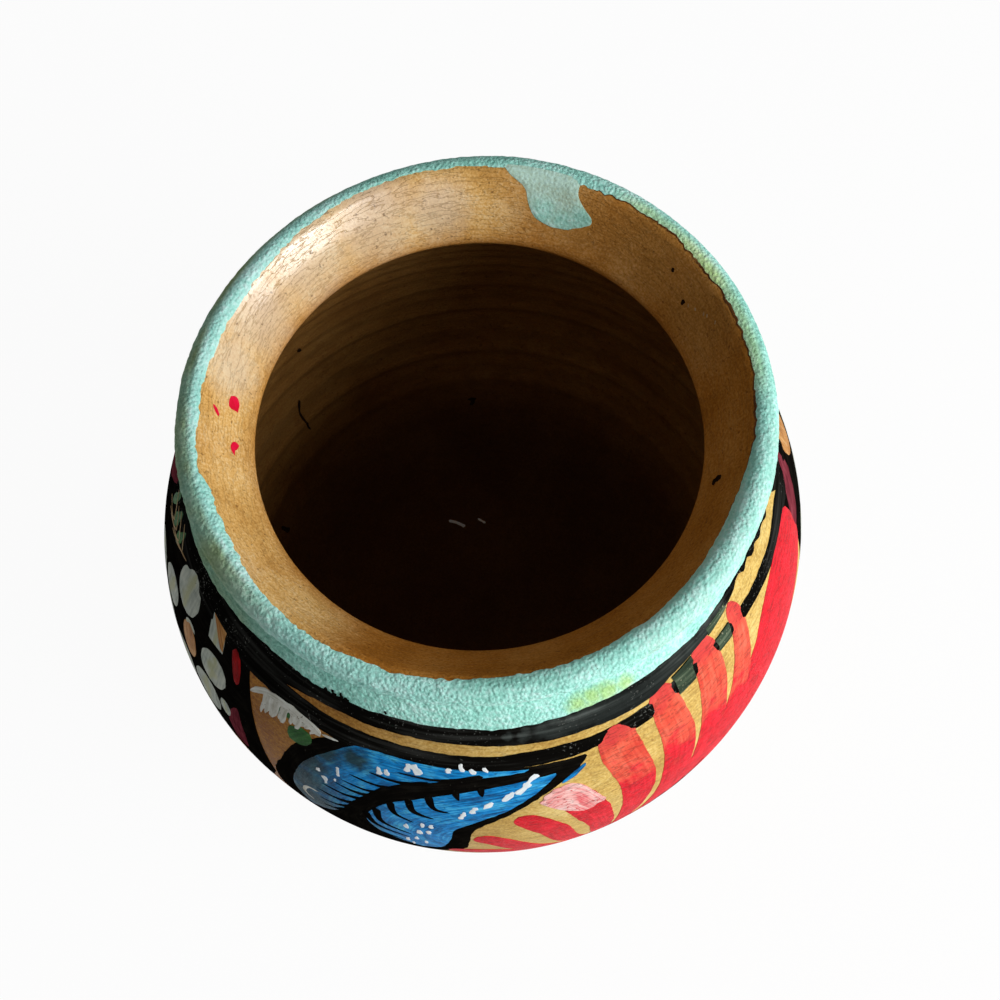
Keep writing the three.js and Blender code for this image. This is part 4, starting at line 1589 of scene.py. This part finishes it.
for side in FRONT_AND_BACK:
    draw_flower(side)
draw_patch(0, "thin", GREEN_SMEAR, 0.3)
print(len(CRIMSON_PETALS) + len(CORAL_PETALS) + 1, "petals seen on each flower")

# %% Blue leaf
LEAF_TOP = (
    (16.4, 17.4), (8, 16.9), (-4, 16.0), (-18, 15.4), (-28, 16.4), (-33, 20.0), (-37.0, 26.0),
    (-38.6, 33), (-40.5, 42), (-38, 54), (-26, 61),
)
LEAF_FOOT = (
    (16.6, 17.8), (14.2, 21.0), (9.8, 24.6), (4, 29.8), (-1, 34.2), (-4.0, 38.6), (-4.6, 45), (-6, 52),
    (-13, 60.5), (-24, 61.5),
)
UPPER_LOBE = (
    (
        (6, 17.4), (-6, 16.6), (-17, 15.6), (-24.5, 16.2), (-29, 20.5), (-33.4, 27), (-35.6, 34),
        (-36.4, 43), (-34, 51),
    ),
    (
        (5, 18.2), (-5, 19.0), (-13, 22.0), (-18.5, 26.0), (-22.5, 31.5), (-25.5, 38), (-28, 45),
        (-30.5, 49), (-33.5, 51.5),
    ),
)
LOWER_LOBE = (
    (
        (10.6, 20.0), (4, 20.6), (-4, 22.6), (-11, 25.6), (-17, 29.6), (-20.4, 34), (-22.4, 41),
        (-20, 48), (-14, 53),
    ),
    (
        (10.8, 20.6), (7.6, 24.4), (2.4, 29.2), (-3, 33.6), (-7.0, 38.0), (-7.6, 43), (-8.6, 48),
        (-10, 52), (-13, 53.6),
    ),
)
MIDRIB = (
    (
        (12, 18.6), (6, 18.8), (0, 19.6), (-7.5, 21.4), (-15, 24.2), (-19, 27.4), (-21.8, 32.0),
        (-24.4, 38.0), (-27, 46), (-28, 54),
    ),
    (1.0, 1.6, 2.1, 2.8, 3.4, 3.0, 2.6, 2.2, 2.0, 1.6),
)
UPPER_BARBS = (
    (-2, 18.3, -17, 19.8), (-11, 21.4, -22, 22.3), (-15, 24.4, -25.5, 25.2), (-18, 27.2, -27, 28.4),
    (-20, 29.8, -28.5, 30.4), (-21.5, 32.2, -30.5, 33.6), (-23.5, 35.8, -31.5, 37.1),
    (-25, 38.6, -31, 41.4), (-26, 41.4, -30.5, 45),
)
LOWER_BARBS = (
    ((-2.5, 21.2), (-2.2, 24.3)), ((-7, 22.4), (-6.2, 25.7)),
    ((-11.5, 25.2), (-10.5, 29.3), (-7.8, 30.4)), ((-15, 27.4), (-14, 31.8), (-10.5, 33.6)),
    ((-18, 30.0), (-17.3, 34.3), (-14, 36.8)), ((-20.6, 34.6), (-19.5, 40.7), (-14.5, 43.9)),
    ((-22.5, 37.9), (-20.5, 43.6), (-15, 46.4)), ((-23.4, 42.0), (-21.2, 47.6), (-16.0, 50.0)),
)
LEAF_DABS = (
    (-8.4, 16.9, 1.2, 1.5, 0), (-5.6, 15.9, 1.1, 2.4, 0.5), (-3.6, 16.8, 1.2, 1.6, 0.8),
    (-1.7, 16.5, 1.0, 1.5, 0.9), (-13.8, 18.0, 2.4, 2.6, 1.8), (-15.2, 17.8, 1.3, 2.6, -0.4),
    (-20.2, 20.8, 1.2, 2.4, 0.6), (-18.9, 20.6, 1.1, 2.0, 0.4), (-27.8, 26.2, 1.1, 3.4, 0.3),
    (-31.3, 28.8, 0.9, 1.4, 0), (-29.9, 31.4, 1.2, 3.0, 0.3), (-28.2, 29.6, 0.8, 1.0, 0),
    (6.2, 20.6, 1.5, 3.4, -2.4), (4.6, 22.6, 1.6, 3.4, -2.2), (2.2, 24.6, 1.5, 3.2, -1.8),
    (-1.2, 27.2, 1.3, 2.6, -1.4), (-3.6, 29.0, 1.3, 2.6, -1.0), (-5.9, 31.0, 1.4, 3.2, -0.8),
    (-12.6, 37.4, 1.0, 2.4, 0), (-11.0, 37.4, 1.1, 2.2, 0), (-15.1, 39.4, 1.0, 2.8, 0.2),
    (-12.9, 41.4, 1.1, 2.6, 0), (-11.4, 40.8, 1.0, 2.2, 0), (-15.4, 48.4, 0.9, 3.0, 0),
    (-13.8, 46.0, 0.8, 2.4, 0), (-12.4, 48.2, 0.8, 2.6, 0), (-14.4, 51.4, 0.9, 2.8, 0),
)
DAB_SIZE = (0.82, 0.86)  # shares of the widths and lengths above
LEAF_TIP = ((16.2, 19.8), (14.0, 22.0), (11.6, 23.6))
BARB_SAG = 0.8
LEAF_CRESCENT = ((-31.4, 39.2), (-33.2, 39.6), (-34.2, 42.0), (-33.9, 44.6), (-32.6, 46.0))


def draw_leaf(turn):
    draw_patch(turn, "ground", (LEAF_TOP, LEAF_FOOT), 0.25)
    for lobe in (UPPER_LOBE, LOWER_LOBE):
        draw_patch(turn, "blue", lobe, 0.15)
    draw_stroke(turn, "blue", LEAF_TIP, (0.5, 1.2, 0.4), 0.3)
    draw_stroke(turn, "line", *MIDRIB, 0.3)
    for start_turn, start_run, end_turn, end_run in UPPER_BARBS:
        bend = ((start_turn + end_turn) / 2, (start_run + end_run) / 2 + BARB_SAG)
        places = ((start_turn, start_run), bend, (end_turn, end_run))
        draw_stroke(turn, "line", places, (1.6, 0.9, 0.3), 0.15)
    for places in LOWER_BARBS:
        draw_stroke(turn, "line", places, (1.6, 1.2, 0.5), 0.15)
    for place, run, width, length, lean in LEAF_DABS:
        nudged = place + turn + dice.uniform(-0.2, 0.2)
        dab(coats["white"], nudged, run, DAB_SIZE[0] * width, DAB_SIZE[1] * length, lean)
    draw_stroke(turn, "dry", LEAF_CRESCENT, (0.3, 0.8, 0.7, 0.3), 0.3)


for side in FRONT_AND_BACK:
    draw_leaf(side)
print(len(LEAF_DABS), "white dabs on each leaf")

# %% Green leaf with white strokes
GREEN_BLADES = (
    (((-34.0, 19.6), (-35.8, 21.8), (-37.6, 24.2)), (4.2, 5.4, 4.0), 0.5),
    (((-36.0, 18.4), (-40.0, 18.4), (-43.4, 21.0)), (2.0, 2.6, 1.6), 0.6),
)
SPINE = (
    (-31.9, 18.4), (-33.6, 17.3), (-36.6, 16.4), (-40.0, 16.1), (-43.6, 16.6), (-46.0, 18.2),
    (-47.5, 20.2),
)
SPINE_WIDTHS = (1.2, 1.8, 2.2, 2.2, 1.8, 1.2, 0.6)
SPINE_TIP = ((-31.6, 17.6), (-28.4, 17.2))
FRILL = 12  # strokes that hang from the spine
FRILL_START = -33.4
FRILL_GAP = 0.98
FRILL_HEAD = 16.8
FRILL_HANGS_FROM = 17.2
FRILL_LENGTH = 1.4
FRILL_GROWS = 0.42  # how much longer each stroke is than the one before


def draw_green_leaf(turn):
    for places, widths, tremble in GREEN_BLADES:
        draw_stroke(turn, "green", places, widths, tremble)
    draw_stroke(turn, "dry", SPINE, SPINE_WIDTHS, 0.5)
    for step in range(FRILL):
        place = FRILL_START - FRILL_GAP * step + dice.uniform(-0.3, 0.3)
        length = FRILL_LENGTH + FRILL_GROWS * step + dice.uniform(-0.8, 0.8)
        sway = dice.uniform(-0.8, 0.5)
        middle = (place + 0.3 * sway, FRILL_HANGS_FROM + length / 2)
        hanging = ((place, FRILL_HEAD), middle, (place + sway, FRILL_HANGS_FROM + length))
        draw_stroke(turn, "dry", hanging, (1.0, 1.05, 0.6), 0.4, step=0.3)
    draw_stroke(turn, "dry", SPINE_TIP, (0.5, 0.35), 0.1)


for side in FRONT_AND_BACK:
    draw_green_leaf(side)
print(FRILL, "white strokes hang over each green leaf")

# %% Twigs and a lone cell
TWIG = ((-74.0, 16.2), (-79.0, 18.4), (-84.0, 20.0), (-89.6, 20.4))
TWIG_FORKS = 4
FIRST_FORK = (-76.5, 17.2)
FORK_GAP = (2.4, 0.55)
FORK_REACH = 4.2
FORK_RISES = (-3.4, 2.8)
GRASS = (-78.4, -82.4, -86.6)
LONE_CELL = (96.6, 18.6, 4.9, 6.6)


def draw_twigs():
    for place in GRASS:
        blade = ((place, 13.6), (place - 0.6, 16.4), (place - 1.4, 19.6))
        draw_stroke(0, "green", blade, (1.6, 2.4, 1.2), 0.5)
    draw_stroke(0, "hair", TWIG, (0.3, 0.35, 0.35, 0.25), 0.1)
    for step in range(TWIG_FORKS):
        root = (FIRST_FORK[0] - FORK_GAP[0] * step, FIRST_FORK[1] + FORK_GAP[1] * step)
        for rise in FORK_RISES:
            aside, down = (dice.uniform(-0.6, 0.6) for _ in range(2))
            tip = (root[0] - FORK_REACH + aside, root[1] + rise + down)
            bend = ((root[0] + tip[0]) / 2, (root[1] + tip[1]) / 2 + 0.15 * rise)
            draw_stroke(0, "hair", (root, bend, tip), (0.25, 0.3, 0.15), 0.08)


draw_twigs()
oval(coats["ochre"], *LONE_CELL)
print(len(FORK_RISES) * TWIG_FORKS, "twigs on one stem")

# %% Net of cells
NET_HEAD = ((-100, 12.4), (-84, 13.0), (-66, 13.4), (-54, 13.6), (-49.2, 15.2))
NET_FOOT = (
    (-101, 40.0), (-98, 51.0), (-89, 59.0), (-76, 63.0), (-62, 63.0), (-50, 59.0), (-43, 53.0),
    (-40.6, 45.0),
)
CELLS = (
    (-69.6, 19.6, 4.5, 5.9), (-57.2, 27.4, 4.0, 4.7), (-75.6, 29.6, 4.0, 4.7), (-58.2, 38.4, 4.1, 5.4),
    (-84.6, 34.0, 4.0, 5.0), (-67.4, 42.6, 4.2, 5.2), (-76.6, 41.4, 4.0, 5.2), (-86.0, 46.4, 4.2, 5.4),
    (-59.4, 50.6, 4.2, 5.0), (-71.6, 54.0, 4.2, 4.6), (-94.6, 39.0, 3.6, 5.6), (-81.6, 56.0, 3.6, 3.0),
    (-52.6, 35.4, 1.5, 2.6),
)
OCHRE_CELLS = ((-65.4, 30.8, 2.7, 4.9), (-93.4, 51.0, 3.0, 4.6), (-50.6, 52.0, 2.6, 3.6))
NET_PATCHES = (  # each patch's coat and its two edges
    (
        "grey",
        ((-62.0, 13.6), (-61.0, 17.0), (-60.4, 20.2)),
        ((-57.0, 14.0), (-56.2, 17.0), (-55.8, 19.6)),
    ),
    (
        "line_ochre",
        ((-61.4, 13.5), (-59.4, 15.6), (-56.8, 18.8)),
        ((-56.8, 13.9), (-56.4, 16.0), (-55.9, 19.0)),
    ),
)
NET_STROKES = (
    ("grey", ((-67.6, 27.4), (-66.2, 25.8), (-64.0, 26.2)), (1.0, 1.4, 0.8), 0.2),
    ("deep_red", ((-53.4, 14.4), (-52.0, 18.4), (-50.8, 22.8)), (2.0, 2.3, 1.4), 0.15),
    ("maroon", ((-49.6, 30.4), (-49.8, 37.0), (-48.4, 46.0)), (1.6, 4.6, 3.6), 0.3),
    ("maroon", ((-90.6, 12.8), (-93.2, 17.0), (-96.8, 21.6), (-99.4, 26.0)), (2.6, 5.6, 5.8, 3.6), 0.5),
)


def draw_net(turn):
    draw_patch(turn, "ground", (NET_HEAD, NET_FOOT), 0.3)
    for kind, cells, most_lean in (("grey", CELLS, 0.6), ("ochre", OCHRE_CELLS, 0.8)):
        for place, run, half_turn, half_run in cells:
            oval(coats[kind], place + turn, run, half_turn, half_run, dice.uniform(-most_lean, most_lean))
    for kind, *edges in NET_PATCHES:
        draw_patch(turn, kind, edges, 0.15)
    for kind, places, widths, tremble in NET_STROKES:
        draw_stroke(turn, kind, places, widths, tremble)


for side in FRONT_AND_BACK:
    draw_net(side)
print("net of", len(CELLS) + len(OCHRE_CELLS), "cells on each side")
for coat in coats.values():
    coat.finish_piece()

# %% [markdown]
# ## Small marks
# The painter's accidents make the pot this pot: three crimson drops inside the mouth, black splashes on
# the neck, pits in the clay, a few pale flecks and a broken pale line in the funnel. Each kind is one
# more coat of short strokes and dabs, placed where they are seen. Painting them into the clay's material
# would be quicker, but as films they have edges and a thickness like the rest.

# %% Specks, splashes and pits
SPECK_STEP = 0.25
CRACK_WIDTH = 0.32
CRACK_LEAN = 0.6
SPECKS = (  # each stroke's places, widths and tremble
    (((-98.8, -24.6), (-97.4, -25.8), (-95.8, -26.8)), (1.7, 2.5, 2.2, 1.0), 0.3),
    (((-94.7, -21.0), (-93.6, -21.9), (-92.6, -22.5)), (0.4, 0.9, 0.5), 0.15),
    (((-87.6, -27.6), (-87.2, -26.8), (-86.2, -26.2), (-84.6, -26.4)), (0.8, 1.5, 1.1, 0.4), 0.2),
)
SPLASHES = (  # each dab's turn, run, width, length and lean
    (-31.4, 6.7, 1.0, 0.9, 1.2),
    (-29.8, 6.5, 0.7, 1.0, 0.6),
    (-28.6, 6.9, 0.9, 0.7, 1.0),
    (-33.2, 6.9, 0.6, 0.6, 0.4),
    (-20.6, 6.2, 0.4, 0.6, 0.3),
)
PITS = (
    (-138.8, -82.0, 1.4, 2.2, 1.0),
    (-110.0, -118.8, 1.6, 2.4, 0.4),
    (-178.2, -120.0, 1.6, 2.0, 0.0),
    (120.0, -24.9, 0.9, 1.2, 0.4),
    (72.8, -26.7, 1.2, 2.4, 1.4),
    (127.0, -22.0, 0.6, 0.8, 0.2),
)
SCRATCH = (((-134.6, -97.4), (-133.4, -102.0), (-133.8, -108.0)), (0.9, 0.7, 0.4), 0.3)
FLECKS = ((-162.5, -148.4, 0.9, 2.6, 9.0), (-179.0, -149.0, 0.7, 1.2, 5.0))
CRACK = (
    (118.4, -24.4, 0.6), (116.4, -23.6, 0.4), (114.0, -22.6, 0.7), (113.0, -22.2, 0.4),
    (110.4, -21.4, 0.5),
)


def add_marks(name, use, slot, lift, thickness, dabs=(), strokes=(), step=STEP):
    """One piece of small marks: dabs, and strokes with points every `step` millimetres."""
    coat = Coat(name, paints[use], slot, lift, thickness)
    for mark in dabs:
        dab(coat, *mark)
    for places, widths, tremble in strokes:
        stroke(coat, places, widths, tremble, step=step)
    coat.finish_piece()


crack_dabs = [(turn, run, CRACK_WIDTH, length, CRACK_LEAN) for turn, run, length in CRACK]
add_marks("crimson_specks", "speck_crimson", "red_paint", 0.02, 0.04, strokes=SPECKS, step=SPECK_STEP)
add_marks("black_splashes", "brushed_black", "black_paint", 0.36, 0.04, SPLASHES)
add_marks("clay_pits", "dark_pit", "terracotta", 0.01, 0.02, PITS, [SCRATCH])
add_marks("pale_flecks", "dab_white", "white_paint", 0.02, 0.03, FLECKS)
add_marks("funnel_crack", "thin_tan", "terracotta", 0.01, 0.02, crack_dabs)
